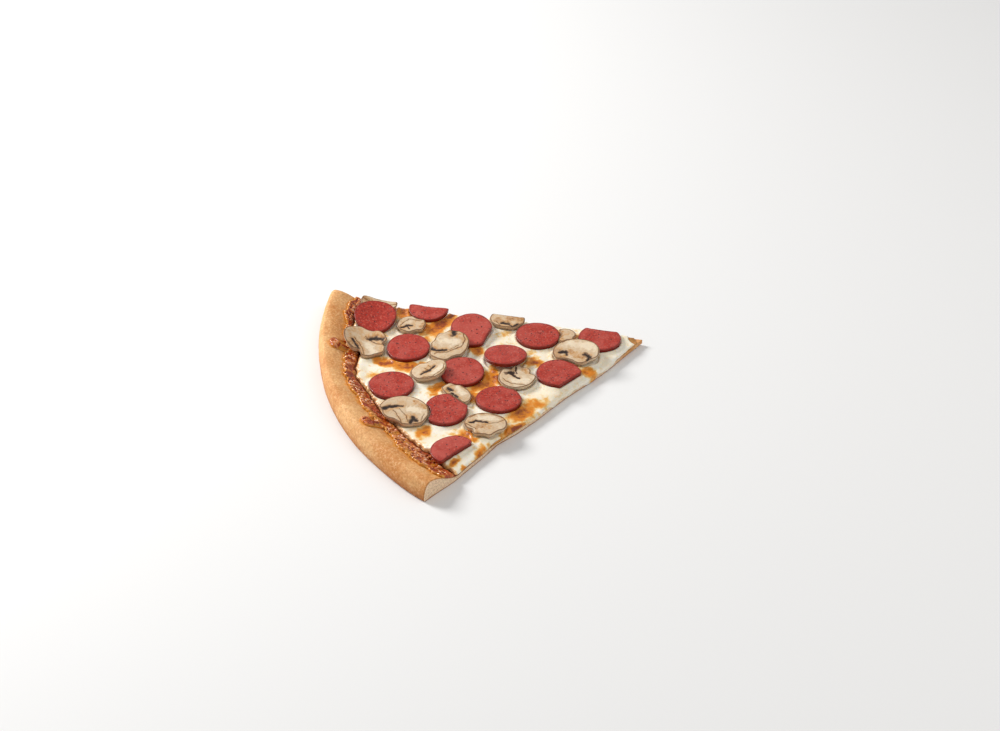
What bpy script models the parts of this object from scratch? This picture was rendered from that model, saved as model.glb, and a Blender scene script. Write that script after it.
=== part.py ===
"""A slice of pizza with cheese, sausage slices and mushroom slices.

The slice lies flat on its dough. Its tip points along +X, its rim curves across -X, and its
two straight cuts meet at the tip. The origin is under the middle of its box, on the ground.
Lengths below are in millimetres and angles in degrees. MM turns a length into metres.
"""

import bisect
import math
from collections import namedtuple

import bmesh
import bpy
from mathutils import Vector, noise

MM = 0.001

# Wedge: one sixth of a 43 cm pizza, cut a little wide. The rim is a little flatter than a
# circle, and these are its distances from the tip, evenly spaced from the near cut to the far
SLICE_ANGLE = 61.5
HALF_ANGLE = math.radians(SLICE_ANGLE / 2)
RIM_RADII = (213.5, 211.8, 211.4, 211.2, 210.6)

# The near cut isn't quite straight: (distance from the tip, spread, height) of its bulges
NEAR_BULGES = ((46.0, 30.0, 3.2), (108.0, 20.0, 1.4), (146.0, 9.0, -1.8), (188.0, 12.0, 1.2))

# The tip bends to the near side and lifts off the ground
TIP_SWAY = 3.4
TIP_SWAY_LENGTH = 60.0
TIP_CURL = 1.2
TIP_CURL_LENGTH = 26.0

# Dough: a thin flat base and a raised rim, lower at the near cut than at the far one
DOUGH_THICKNESS = 2.8
RIM_HEIGHT_NEAR = 12.4
RIM_HEIGHT_FAR = 14.4
RIM_FACE = 5.6
RIM_SLOPE_NEAR = 25.0
RIM_SLOPE_FAR = 29.0
RIM_LUMP = 0.6
RIM_LUMP_LENGTH = 22.0
RIM_UNDERCUT = 0.9
RIM_UNDERCUT_HEIGHT = 1.3

# Sauce: a thin layer that comes out from under the cheese as a crinkled band
GAP = 0.3
SAUCE_THICKNESS = 0.5
SAUCE_TIP = 5.0
SAUCE_EDGE = 194.0
SAUCE_EDGE_WAVE = 4.5
BAND_GAP = 0.9
BAND_HEIGHT = 1.5
BAND_CRINKLE = 1.0
BAND_CRINKLE_LENGTH = 6.0

# Two tongues of sauce that ran up the rim: angle about the tip, reach and half width
SAUCE_TONGUES = ((14.0, 8.5, 4.6), (-11.0, 9.0, 4.2))

# Cheese: a lumpy layer with a rounded margin, thin along the near cut
CHEESE_TIP = 9.0
CHEESE_EDGE = 187.5
CHEESE_EDGE_WAVE = 5.0
EDGE_WAVE_LENGTH = 34.0
CHEESE_THICKNESS = 2.5
CHEESE_THICKNESS_TIP = 1.0
CHEESE_FULL_AT = 90.0
CHEESE_LIP = 0.7
CHEESE_LUMP = 0.9
CHEESE_LUMP_LENGTH = 30.0
ROUNDING_RIM = 5.0
ROUNDING_NEAR_CUT = 9.0
ROUNDING_FAR_CUT = 4.0
ROUNDING_TIP = 8.0

# Toppings
SAUSAGE_THICKNESS = 2.7
MUSHROOM_THICKNESS = 3.2
TOPPING_BEVEL = 0.5
TOPPING_GAP = 0.36
CUT_MARGIN = 0.4
SIDE_GAP = 0.9
OUTLINE_POINTS = 22
CORNER_SPACING = 0.25
OUTLINE_WOBBLE = 0.05
INNER_RINGS = (0.55,)

# A sausage slice: its middle, its two diameters, the turn of the second one, its straight sides
# as (direction, distance from the middle), how far and towards where it leans up, and on what
Sausage = namedtuple("Sausage", "name x y across along turn sides lean towards on")
SAUSAGES = (
    Sausage("sausage_01", -53.4, 71.0, 27.2, 28.0, 70.0, (), 9.5, 70.0, ("mushroom_01",)),
    Sausage("sausage_02", -16.4, 71.4, 27.4, 26.0, 150.0, (), 2.0, 70.0, ()),
    Sausage("sausage_03", 1.6, 36.9, 27.0, 31.0, 80.0, ((-42.0, 11.8),), 6.0, 70.0, ()),
    Sausage("sausage_04", -42.4, 34.1, 28.0, 29.0, 70.0, (), 0.0, 0.0, ()),
    Sausage("sausage_05", 41.0, 19.4, 28.4, 27.4, 70.0, (), 0.0, 0.0, ()),
    Sausage("sausage_06", 77.9, 3.0, 28.0, 27.0, 70.0, ((59.25, 9.4),), 0.0, 0.0, ()),
    Sausage("sausage_07", 12.8, 2.3, 27.8, 27.0, 70.0, (), 6.5, 250.0, ("mushroom_08",)),
    Sausage("sausage_08", -18.4, -3.3, 27.4, 29.0, 70.0, (), 2.0, 70.0, ()),
    Sausage("sausage_09", 39.0, -24.4, 28.0, 28.6, 70.0, ((-61.8, 9.8),), 0.0, 0.0, ()),
    Sausage("sausage_10", -64.9, -1.5, 28.7, 27.0, 70.0, (), 0.0, 0.0, ()),
    Sausage("sausage_11", -40.6, -37.8, 27.0, 29.0, 70.0, ((26.0, 11.2),), 2.0, 70.0, ()),
    Sausage("sausage_12", -6.2, -38.1, 28.6, 27.0, 70.0, (), 0.0, 0.0, ()),
    Sausage("sausage_13", -49.4, -76.8, 28.6, 25.0, 118.0, ((-61.6, 3.4),), 0.0, 0.0, ()),
)

# A mushroom slice: the middle under its cap, width and height of the cap, length and width of
# the stem, depth of the gill notches from 0 to 1, the cap's direction, then its lean as above
Mushroom = namedtuple("Mushroom", "name x y width cap stem stem_width gill turn lean towards on")
MUSHROOMS = (
    Mushroom("mushroom_01", -46.6, 85.2, 24.0, 6.5, 6.0, 12.0, 0.3, 245.0, 3.0, 120.0, ()),
    Mushroom("mushroom_02", -67.0, 48.2, 27.6, 15.0, 15.5, 15.0, 0.4, 96.0, 2.0, 90.0, ()),
    Mushroom("mushroom_03", -33.1, 56.9, 19.0, 9.5, 7.2, 11.0, 0.2, 92.0, 0.0, 0.0, ()),
    Mushroom("mushroom_04", 27.9, 41.2, 23.4, 9.5, 12.0, 13.0, 0.2, 245.0, 0.0, 0.0, ()),
    Mushroom(
        "mushroom_05", -18.8, 23.6, 29.0, 13.0, 10.5, 16.0, 0.3, -48.0, 4.0, 33.0, ("sausage_03",)
    ),
    Mushroom(
        "mushroom_06", -39.0, 2.4, 23.4, 9.5, 6.6, 13.0, 0.2, -92.0, 4.0, 0.0, ("sausage_08",)
    ),
    Mushroom(
        "mushroom_07", 57.2, -8.3, 30.0, 11.6, 11.0, 14.0, 0.3, 60.0, 4.0, 28.0, ("sausage_06",)
    ),
    Mushroom("mushroom_08", 12.4, -20.3, 23.6, 12.4, 10.4, 10.0, 0.5, 230.0, 0.0, 0.0, ()),
    Mushroom("mushroom_09", -65.6, -31.0, 32.0, 13.6, 10.6, 17.0, 0.3, 40.0, 2.0, 60.0, ()),
    Mushroom("mushroom_10", -29.1, -24.6, 23.0, 7.5, 5.6, 10.0, 0.2, 15.0, 0.0, 0.0, ()),
    Mushroom("mushroom_11", -22.1, -59.8, 26.2, 9.6, 11.4, 12.0, 0.4, 60.0, 0.0, 0.0, ()),
    Mushroom("mushroom_12", 57.0, 13.0, 15.0, 6.5, 6.5, 8.0, 0.2, 85.0, 0.0, 0.0, ()),
)

# Colours, linear, with roughness
DOUGH_LOOK = ((0.80, 0.50, 0.22), 0.75)
SAUCE_LOOK = ((0.42, 0.10, 0.03), 0.35)
CHEESE_LOOK = ((0.90, 0.80, 0.56), 0.40)
SAUSAGE_LOOK = ((0.52, 0.08, 0.06), 0.45)
MUSHROOM_LOOK = ((0.72, 0.56, 0.36), 0.60)


def clear_scene():
    for obj in list(bpy.data.objects):
        bpy.data.objects.remove(obj, do_unlink=True)


def material(name, look):
    colour, roughness = look
    made = bpy.data.materials.new(name)
    made.use_nodes = True
    shader = made.node_tree.nodes["Principled BSDF"]
    shader.inputs["Base Color"].default_value = (*colour, 1.0)
    shader.inputs["Roughness"].default_value = roughness
    shader.inputs["Metallic"].default_value = 0.0
    made.diffuse_color = (*colour, 1.0)
    return made


def mix(a, b, t):
    return a + (b - a) * t


def wave(length, *place):
    """Smooth noise from about -1 to 1 that changes over the given length."""
    return noise.noise(Vector((*place, 0.0, 0.0)[:3]) / length)


def steps(first, last, count):
    return [mix(first, last, i / count) for i in range(count + 1)]


def smooth_between(values, part):
    """A smooth curve through evenly spaced values, read at a part from 0 to 1."""
    at = min(max(part, 0.0), 1.0) * (len(values) - 1)
    first = min(int(at), len(values) - 2)
    ease = 0.5 - 0.5 * math.cos(math.pi * (at - first))
    return mix(values[first], values[first + 1], ease)


def outer_radius(part):
    """The rim's outline, at a part of the way from the near cut (0) to the far one (1)."""
    return smooth_between(RIM_RADII, part)


# The origin is under the middle of the box, so this is where the tip's angle would be
TIP_X = max(
    outer_radius(part) * math.cos(mix(-HALF_ANGLE, HALF_ANGLE, part))
    for part in steps(0.0, 1.0, 400)
) / 2
TIP_Y = (outer_radius(0.0) - outer_radius(1.0)) * math.sin(HALF_ANGLE) / 2


def near_bulge(radius):
    """How far the near cut stands out from its straight line."""
    swell = 1.0 - math.exp(-radius / 12.0)
    bulges = (
        height * math.exp(-(((radius - place) / spread) ** 2))
        for place, spread, height in NEAR_BULGES
    )
    return swell * sum(bulges)


def fade(radius, length):
    """1 at the tip, falling smoothly to 0 at the given length from it."""
    return max(1.0 - radius / length, 0.0) ** 2


def polar(radius, part):
    """The place at a distance from the tip, a part of the way from the near cut to the far."""
    start = -HALF_ANGLE - near_bulge(radius) / max(radius, 1.0)
    angle = mix(start, HALF_ANGLE, part)
    sway = TIP_SWAY * fade(radius, TIP_SWAY_LENGTH)
    return TIP_X - radius * math.cos(angle), TIP_Y - sway + radius * math.sin(angle)


def from_polar(x, y):
    """(distance from the tip, part of the way from the near cut to the far one) of a place."""
    radius = math.hypot(TIP_X - x, y - TIP_Y)
    y += TIP_SWAY * fade(radius, TIP_SWAY_LENGTH)
    radius = math.hypot(TIP_X - x, y - TIP_Y)
    start = -HALF_ANGLE - near_bulge(radius) / max(radius, 1.0)
    return radius, (math.atan2(y - TIP_Y, TIP_X - x) - start) / (HALF_ANGLE - start)


def rim_height(part):
    return mix(RIM_HEIGHT_NEAR, RIM_HEIGHT_FAR, part)


def ground(radius):
    """Height of the dough's underside, which only the tip lifts."""
    return TIP_CURL * fade(radius, TIP_CURL_LENGTH)


def dough_top(radius, part):
    """Height of the dough inside the rim's crest."""
    inset = outer_radius(part) - radius
    slope = mix(RIM_SLOPE_NEAR, RIM_SLOPE_FAR, part)
    down = min(max((inset - RIM_FACE) / slope, 0.0), 1.0)
    rise = 0.5 + 0.5 * math.cos(math.pi * down)
    lump = RIM_LUMP * wave(RIM_LUMP_LENGTH, *polar(radius, part))
    return (
        ground(radius) + DOUGH_THICKNESS + (rim_height(part) - DOUGH_THICKNESS + lump) * rise
    )


def along_rim(part):
    """Distance along the rim from the middle of the slice."""
    return mix(-HALF_ANGLE, HALF_ANGLE, part) * SAUCE_EDGE


def sauce_edge(part):
    """Outer edge of the sauce, with its two tongues."""
    at = along_rim(part)
    edge = SAUCE_EDGE + SAUCE_EDGE_WAVE * wave(EDGE_WAVE_LENGTH, at, 40.0)
    for degrees, reach, half_width in SAUCE_TONGUES:
        off = (at - math.radians(degrees) * SAUCE_EDGE) / half_width
        edge += reach * math.exp(-(off**4))
    return edge


def cheese_edge(part):
    return CHEESE_EDGE + CHEESE_EDGE_WAVE * wave(EDGE_WAVE_LENGTH, along_rim(part), 9.0)


def sauce_top(radius, part):
    return dough_top(radius, part) + GAP + SAUCE_THICKNESS


def cheese_bottom(radius, part):
    return sauce_top(radius, part) + GAP


def bed(x, y):
    """Top of the cheese with no rounding at its edges, which the toppings lie on."""
    radius, part = from_polar(x, y)
    full = mix(CHEESE_THICKNESS_TIP, CHEESE_THICKNESS, min(radius / CHEESE_FULL_AT, 1.0))
    lump = CHEESE_LUMP * wave(CHEESE_LUMP_LENGTH, x, y, 5.0)
    return cheese_bottom(radius, part) + full + lump


def rounded(distance, reach):
    """0 at an edge, rising like a quarter circle to 1 at the given reach."""
    short = 1.0 - min(max(distance / reach, 0.0), 1.0)
    return math.sqrt(1.0 - short * short)


def cheese_top(radius, part):
    bottom = cheese_bottom(radius, part)
    width = radius * 2 * HALF_ANGLE
    fullness = (
        rounded(cheese_edge(part) - radius, ROUNDING_RIM)
        * rounded(width * part, ROUNDING_NEAR_CUT)
        * rounded(width * (1.0 - part), ROUNDING_FAR_CUT)
        * rounded(radius - CHEESE_TIP, ROUNDING_TIP)
    )
    return bottom + mix(CHEESE_LIP, bed(*polar(radius, part)) - bottom, fullness)


def mesh_object(name, mesh_data, look_material):
    """An object from a bmesh, with all faces turned outwards."""
    bmesh.ops.recalc_face_normals(mesh_data, faces=mesh_data.faces[:])
    mesh = bpy.data.meshes.new(name)
    mesh_data.to_mesh(mesh)
    mesh_data.free()
    mesh.shade_smooth()
    mesh.set_sharp_from_angle(angle=math.radians(50))
    mesh.materials.append(look_material)
    made = bpy.data.objects.new(name, mesh)
    bpy.context.scene.collection.objects.link(made)
    return made


def add_point(mesh_data, x, y, z):
    return mesh_data.verts.new((x * MM, y * MM, z * MM))


def add_strip(mesh_data, first, second):
    """Quads between two rows of points of the same length."""
    for i in range(len(first) - 1):
        mesh_data.faces.new((first[i], first[i + 1], second[i + 1], second[i]))


def add_loop(mesh_data, first, second):
    add_strip(mesh_data, first + first[:1], second + second[:1])


def add_fan(mesh_data, middle, row):
    for i in range(len(row) - 1):
        mesh_data.faces.new((middle, row[i], row[i + 1]))


DOUGH_COLUMNS = 32
BASE_ROWS = (4.0, 9.0, 15.0, 22.0, 30.0, 38.0, 46.0, 56.0, 70.0, 90.0, 108.0, 125.0, 137.0)
BASE_ROWS += (146.0, 155.0, 167.0)
SLOPE_ROWS = 9
FACE_ROWS = (66.0, 44.0, 22.0, 0.0)


def dough_section(part):
    """(distance from the tip, height) over the base and the rim and down the rim's face."""
    outer = outer_radius(part)
    section = [(radius, dough_top(radius, part)) for radius in BASE_ROWS]
    widest = RIM_FACE + max(RIM_SLOPE_NEAR, RIM_SLOPE_FAR)
    for inset in steps(widest, RIM_FACE, SLOPE_ROWS):
        section.append((outer - inset, dough_top(outer - inset, part)))
    crest = section[-1][1]
    for degrees in FACE_ROWS:
        turn = math.radians(degrees)
        height = mix(RIM_UNDERCUT_HEIGHT, crest, math.sin(turn))
        section.append((outer - RIM_FACE * (1.0 - math.cos(turn)), height))
    return section


def build_dough():
    mesh_data = bmesh.new()
    tip_x, tip_y = polar(0.0, 0.5)
    tip_top = add_point(mesh_data, tip_x, tip_y, dough_top(0.0, 0.5))
    tip_foot = add_point(mesh_data, tip_x, tip_y, ground(0.0))
    upper = []
    lower = []
    for part in steps(0.0, 1.0, DOUGH_COLUMNS):
        section = dough_section(part)
        foot = outer_radius(part) - RIM_UNDERCUT
        soles = [radius for radius, height in section if radius < foot - 1.0] + [foot]
        upper.append([add_point(mesh_data, *polar(r, part), height) for r, height in section])
        lower.append([add_point(mesh_data, *polar(r, part), ground(r)) for r in soles])
    for rows, tip in ((upper, tip_top), (lower, tip_foot)):
        for first, second in zip(rows, rows[1:]):
            mesh_data.faces.new((tip, first[0], second[0]))
            add_strip(mesh_data, first, second)
    add_strip(mesh_data, [row[-1] for row in lower], [row[-1] for row in upper])
    for i in (0, -1):
        shared = len(lower[i])
        mesh_data.faces.new((tip_foot, tip_top, upper[i][0], lower[i][0]))
        add_strip(mesh_data, lower[i], upper[i][:shared])
        mesh_data.faces.new((lower[i][-1], *upper[i][shared - 1 :]))
    return mesh_object("dough", mesh_data, material("baked_dough", DOUGH_LOOK))


def build_layer(name, columns, look_material):
    """A closed layer from columns of (x, y, bottom, top) places."""
    mesh_data = bmesh.new()
    lower = []
    upper = []
    for column in columns:
        lower.append([add_point(mesh_data, x, y, bottom) for x, y, bottom, top in column])
        upper.append([add_point(mesh_data, x, y, top) for x, y, bottom, top in column])
    for i in range(len(columns) - 1):
        add_strip(mesh_data, lower[i], lower[i + 1])
        add_strip(mesh_data, upper[i], upper[i + 1])
    for i in (0, -1):
        add_strip(mesh_data, lower[i], upper[i])
        add_strip(mesh_data, [row[i] for row in lower], [row[i] for row in upper])
    return mesh_object(name, mesh_data, look_material)


SAUCE_COLUMNS = 46
SAUCE_ROWS = tuple(radius for radius in BASE_ROWS if radius > SAUCE_TIP)
UNDER_EDGE_ROWS = (11.0, 7.0, 4.0, 1.8)
BAND_ROWS = 4

# Columns on a tongue of sauce, in half widths from its middle
TONGUE_COLUMNS = (-1.3, -1.0, -0.75, -0.4, 0.0, 0.4, 0.75, 1.0, 1.3)


def sauce_parts():
    """Parts of the way from the near cut to the far one, closer together on the tongues."""
    parts = steps(0.0, 1.0, SAUCE_COLUMNS)
    for degrees, _, half_width in SAUCE_TONGUES:
        middle = 0.5 + degrees / SLICE_ANGLE
        unit = half_width / (SAUCE_EDGE * 2 * HALF_ANGLE)
        reach = unit * (TONGUE_COLUMNS[-1] + 0.3)
        parts = [part for part in parts if abs(part - middle) > reach]
        parts += [middle + unit * column for column in TONGUE_COLUMNS]
    return sorted(parts)


def band_height(across, x, y):
    """Height of the sauce above its flat top, across the band from the cheese to the rim."""
    arch = math.sin(math.pi * across) ** 0.6 if 0.0 < across < 1.0 else 0.0
    return arch * (BAND_HEIGHT + BAND_CRINKLE * wave(BAND_CRINKLE_LENGTH, x, y, 3.0))


def build_sauce():
    columns = []
    for part in sauce_parts():
        inner = cheese_edge(part) + BAND_GAP
        places = [(radius, 0.0) for radius in (SAUCE_TIP, *SAUCE_ROWS)]
        places += [(inner - inset, 0.0) for inset in UNDER_EDGE_ROWS]
        for across in steps(0.0, 1.0, BAND_ROWS):
            places.append((mix(inner, sauce_edge(part), across), across))
        column = []
        for radius, across in places:
            x, y = polar(radius, part)
            top = sauce_top(radius, part) + band_height(across, x, y)
            column.append((x, y, dough_top(radius, part) + GAP, top))
        columns.append(column)
    return build_layer("sauce", columns, material("baked_sauce", SAUCE_LOOK))


CHEESE_COLUMNS = 32
CHEESE_ROWS = 28
MARGIN_ROWS = (0.8, 2.4)


def build_cheese():
    margins = [margin / (CHEESE_EDGE * 2 * HALF_ANGLE) for margin in MARGIN_ROWS]
    parts = steps(0.0, 1.0, CHEESE_COLUMNS)
    parts += margins + [1.0 - margin for margin in margins]
    columns = []
    for part in sorted(parts):
        edge = cheese_edge(part)
        radii = steps(CHEESE_TIP, edge, CHEESE_ROWS)
        radii += [edge - margin for margin in MARGIN_ROWS]
        column = []
        for radius in sorted(radii):
            bottom = cheese_bottom(radius, part)
            column.append((*polar(radius, part), bottom, cheese_top(radius, part)))
        columns.append(column)
    return build_layer("cheese", columns, material("melted_cheese", CHEESE_LOOK))


class Piece:
    """A topping: an outline about its middle, on the cheese or leaning on other toppings."""

    def __init__(self, row, thickness, placed):
        self.row = row
        self.name = row.name
        self.under = [piece for piece in placed if piece.name in row.on]
        self.beside = [piece for piece in placed if piece.name not in row.on]
        self.x = row.x
        self.y = row.y
        self.thickness = thickness
        self.slope = math.tan(math.radians(row.lean))
        towards = math.radians(row.towards)
        self.direction = (math.cos(towards), math.sin(towards))
        self.sides = self.wedge_sides() + self.own_sides()
        self.outline = self.find_outline()
        self.low = min(self.along(*self.at(1.0, *point)) for point in self.outline)
        self.lean()

    def own_sides(self):
        return []

    def wedge_sides(self):
        """The slice's two cuts, as (direction, distance) from the piece's middle."""
        sides = []
        for sign in (-1, 1):
            direction = sign * (math.pi / 2 - HALF_ANGLE)
            away = (TIP_X - self.x) * math.cos(direction) + (TIP_Y - self.y) * math.sin(direction)
            sides.append((direction, away - CUT_MARGIN))
        return sides

    def free_radius(self, angle):
        raise NotImplementedError

    def radius(self, angle):
        """(radius, which limit holds) in a direction from the middle."""
        wobble = 1.0 + OUTLINE_WOBBLE * wave(
            1.0, self.x + math.cos(angle), self.y + math.sin(angle)
        )
        limits = [self.free_radius(angle) * wobble]
        for direction, distance in self.sides:
            facing = math.cos(angle - direction)
            limits.append(distance / facing if facing > 1e-6 else math.inf)
        limits += [self.radius_beside(piece, angle, min(limits)) for piece in self.beside]
        shortest = min(limits)
        return shortest, limits.index(shortest)

    def radius_beside(self, piece, angle, longest):
        """How far the outline reaches in a direction before it meets its neighbour."""
        reach = longest
        for _ in range(12):
            x, y = self.at(1.0, angle, reach)
            depth = piece.depth(x, y) + SIDE_GAP
            if depth <= 0.0:
                break
            reach -= max(depth, 0.1)
        return reach

    def find_outline(self):
        """(angle, radius) round the piece, with a point at each corner that a side makes."""
        angles = steps(-math.pi, math.pi, OUTLINE_POINTS)
        corners = []
        for before, after in zip(angles, angles[1:]):
            if self.radius(before)[1] == self.radius(after)[1]:
                continue
            low, high = before, after
            for _ in range(30):
                middle = (low + high) / 2
                if self.radius(middle)[1] == self.radius(before)[1]:
                    low = middle
                else:
                    high = middle
            corners.append(low)
        spacing = CORNER_SPACING * (angles[1] - angles[0])
        kept = [
            angle for angle in angles[:-1] if all(abs(angle - c) > spacing for c in corners)
        ]
        return [(angle, self.radius(angle)[0]) for angle in sorted(kept + corners)]

    def at(self, scale, angle, radius):
        return (
            self.x + scale * radius * math.cos(angle),
            self.y + scale * radius * math.sin(angle),
        )

    def along(self, x, y):
        """Distance from the middle in the direction of the lean."""
        return (x - self.x) * self.direction[0] + (y - self.y) * self.direction[1]

    def bottom(self, x, y):
        return bed(x, y) + TOPPING_GAP + self.slope * (self.along(x, y) - self.low)

    def top(self, x, y):
        return self.bottom(x, y) + self.thickness

    def depth(self, x, y):
        """How far a place is inside the finished outline, or below 0 outside it."""
        across, up = x - self.x, y - self.y
        angle = math.atan2(up, across)
        angles = [point[0] for point in self.outline]
        after = bisect.bisect(angles, angle) % len(angles)
        first, second = self.outline[after - 1], self.outline[after]
        part = ((angle - first[0]) % math.tau) / ((second[0] - first[0]) % math.tau)
        return mix(first[1], second[1], part) - math.hypot(across, up)

    def lean(self):
        """Leans just far enough to clear the toppings that it rests on."""
        for scale in steps(0.0, 1.0, 10):
            for angle, radius in self.outline:
                x, y = self.at(scale, angle, radius)
                for piece in self.under:
                    if piece.depth(x, y) > -TOPPING_BEVEL:
                        lift = piece.top(x, y) - bed(x, y)
                        self.slope = max(self.slope, lift / (self.along(x, y) - self.low))

    def build(self, look_material):
        mesh_data = bmesh.new()
        faces = []
        for height, corner in ((self.bottom, 0.0), (self.top, 1.0)):
            middle = add_point(mesh_data, self.x, self.y, height(self.x, self.y))
            rows = []
            for scale in sorted(INNER_RINGS):
                places = [self.at(scale, *point) for point in self.outline]
                rows.append([add_point(mesh_data, x, y, height(x, y)) for x, y in places])
            row = []
            for angle, radius in self.outline:
                x, y = self.at(1.0 - corner * TOPPING_BEVEL / radius, angle, radius)
                row.append(add_point(mesh_data, x, y, height(x, y)))
            rows.append(row)
            add_fan(mesh_data, middle, rows[0] + rows[0][:1])
            for first, second in zip(rows, rows[1:]):
                add_loop(mesh_data, first, second)
            faces.append(row)
        shoulder = []
        for point in self.outline:
            x, y = self.at(1.0, *point)
            shoulder.append(add_point(mesh_data, x, y, self.top(x, y) - TOPPING_BEVEL))
        add_loop(mesh_data, faces[0], shoulder)
        add_loop(mesh_data, shoulder, faces[1])
        return mesh_object(self.name, mesh_data, look_material)


class SausageSlice(Piece):
    def own_sides(self):
        return [(math.radians(turn), distance) for turn, distance in self.row.sides]

    def free_radius(self, angle):
        """Radius of the ellipse."""
        turn = angle - math.radians(self.row.turn)
        across = math.sin(turn) / self.row.across
        along = math.cos(turn) / self.row.along
        return 0.5 / math.hypot(across, along)


class MushroomSlice(Piece):
    def free_radius(self, angle):
        """A half ellipse for the cap, a notch for the gills on each side, and a stem."""
        row = self.row
        turn = angle - math.radians(row.turn)
        up = math.cos(turn)
        side = abs(math.sin(turn))
        if up >= 0.0:
            return 1.0 / math.hypot(up / row.cap, side / (row.width / 2))
        below = math.atan2(-up, side)
        lip = math.radians(24.0)
        corner = math.atan2(row.stem, row.stem_width / 2)
        notch = (lip + corner) / 2
        corner_radius = math.hypot(row.stem, row.stem_width / 2)
        notch_radius = mix(row.width / 2, min(row.width / 2, corner_radius) * 0.5, row.gill)
        marks = (
            (0.0, row.width / 2),
            (lip, row.width / 2),
            (notch, notch_radius),
            (corner, corner_radius),
            (math.pi / 2, row.stem),
        )
        for (start, first), (end, second) in zip(marks, marks[1:]):
            if below <= end:
                part = (below - start) / (end - start)
                return mix(first, second, 0.5 - 0.5 * math.cos(math.pi * part))
        return row.stem


def build_toppings():
    sausage = material("sausage", SAUSAGE_LOOK)
    mushroom = material("mushroom", MUSHROOM_LOOK)
    rows = {row.name: row for row in SAUSAGES + MUSHROOMS}
    placed = []
    for name in LAYING_ORDER:
        if isinstance(rows[name], Sausage):
            piece = SausageSlice(rows[name], SAUSAGE_THICKNESS, placed)
            piece.build(sausage)
        else:
            piece = MushroomSlice(rows[name], MUSHROOM_THICKNESS, placed)
            piece.build(mushroom)
        placed.append(piece)


# The order in which the toppings lie on each other, lowest first
LAYING_ORDER = (
    "mushroom_01",
    "mushroom_08",
    "mushroom_09",
    *(row.name for row in SAUSAGES),
    "mushroom_12",
    "mushroom_02",
    "mushroom_03",
    "mushroom_04",
    "mushroom_05",
    "mushroom_06",
    "mushroom_07",
    "mushroom_10",
    "mushroom_11",
)


def main():
    clear_scene()
    build_dough()
    build_sauce()
    build_cheese()
    build_toppings()


if __name__ == "__main__":
    main()
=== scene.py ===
"""Dresses a pizza slice: browned dough, crinkled sauce, melted cheese, sausage and mushrooms.

The slice's solids come from the frame. Each piece below is built over its own solid, in
millimetres in the frame's axes: +X from the rim to the tip, +Z up, and the near cut at -Y.
A "part" is how far along a place is from the near cut (0) to the far one (1), and a "radius" is
its distance from the tip.
"""

import math
from typing import NamedTuple

import bmesh
import bpy
import numpy as np
from bpy.props import FloatProperty, FloatVectorProperty, IntProperty, PointerProperty
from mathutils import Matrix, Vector, noise


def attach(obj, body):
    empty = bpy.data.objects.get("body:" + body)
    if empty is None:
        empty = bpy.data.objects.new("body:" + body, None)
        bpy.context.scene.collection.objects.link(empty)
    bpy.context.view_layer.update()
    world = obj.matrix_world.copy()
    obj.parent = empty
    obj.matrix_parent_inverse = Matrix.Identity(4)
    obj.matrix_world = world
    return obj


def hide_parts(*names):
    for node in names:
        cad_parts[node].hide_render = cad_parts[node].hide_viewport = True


bl_info = {
    "name": "Pizza slice",
    "version": (1, 0, 0),
    "blender": (4, 5, 0),
    "location": "View3D > Sidebar > Pizza slice",
    "description": "Builds a slice of pizza with cheese, sausage slices and mushroom slices",
    "category": "Add Mesh",
}

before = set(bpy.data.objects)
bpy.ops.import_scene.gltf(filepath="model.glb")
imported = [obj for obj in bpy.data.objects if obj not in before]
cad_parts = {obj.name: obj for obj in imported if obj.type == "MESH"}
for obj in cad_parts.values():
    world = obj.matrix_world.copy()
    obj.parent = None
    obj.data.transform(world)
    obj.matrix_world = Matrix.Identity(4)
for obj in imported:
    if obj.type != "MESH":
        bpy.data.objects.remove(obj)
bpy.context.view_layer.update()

MM = 0.001

# Wedge, as the solids have it: the rim's radii from the near cut to the far one, and the near
# cut's bulges by their radius, spread and height
SLICE_ANGLE = 61.5
HALF_ANGLE = math.radians(SLICE_ANGLE / 2)
RIM_RADII = (213.5, 211.8, 211.4, 211.2, 210.6)
NEAR_BULGES = ((46.0, 30.0, 3.2), (108.0, 20.0, 1.4), (146.0, 9.0, -1.8), (188.0, 12.0, 1.2))
BULGES_FROM = 12.0
TIP_SWAY = 3.4
TIP_SWAY_LENGTH = 60.0
TIP_CURL = 1.2
TIP_CURL_LENGTH = 26.0

# Dough
DOUGH_THICKNESS = 2.8
RIM_HEIGHT_NEAR = 12.4
RIM_HEIGHT_FAR = 14.4
RIM_FACE = 5.6
RIM_SLOPE_NEAR = 25.0
RIM_SLOPE_FAR = 29.0
RIM_LUMP = 0.6
RIM_LUMP_LENGTH = 22.0
RIM_UNDERCUT = 0.9
RIM_UNDERCUT_HEIGHT = 1.3
RIM_GRAIN = 0.16
RIM_FINE_GRAIN = 0.05
RIM_DENT = 0.22

# Sauce: its layer, and the baked band by the rim. The drops are given by their angle and reach.
GAP = 0.3
SAUCE_THICKNESS = 0.5
SAUCE_TIP = 5.0
SAUCE_EDGE = 194.0
SAUCE_EDGE_WAVE = 4.5
BAND_GAP = 0.9
BAND_RISE = 0.5
BAND_WIDER = 3.4
BAND_NARROWER = 1.3
BAND_ROUNDING_IN = 1.4
BAND_ROUNDING_OUT = 1.8
SAUCE_LIFT = 0.1
SAUCE_FILM = 0.04
SAUCE_SINK = 0.5
DROP_ALONG = 5.4
DROP_OUT = 3.7
DROP_NECK = 1.3
DROPS = ((14.0, 10.3), (-11.0, 10.8))
BLISTER_SIZE = 2.1
WORM_SIZE = 5.4
GOLDEN_PLACE = (-78.0, -71.0)
GOLDEN_SPREAD = 7.0

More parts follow.
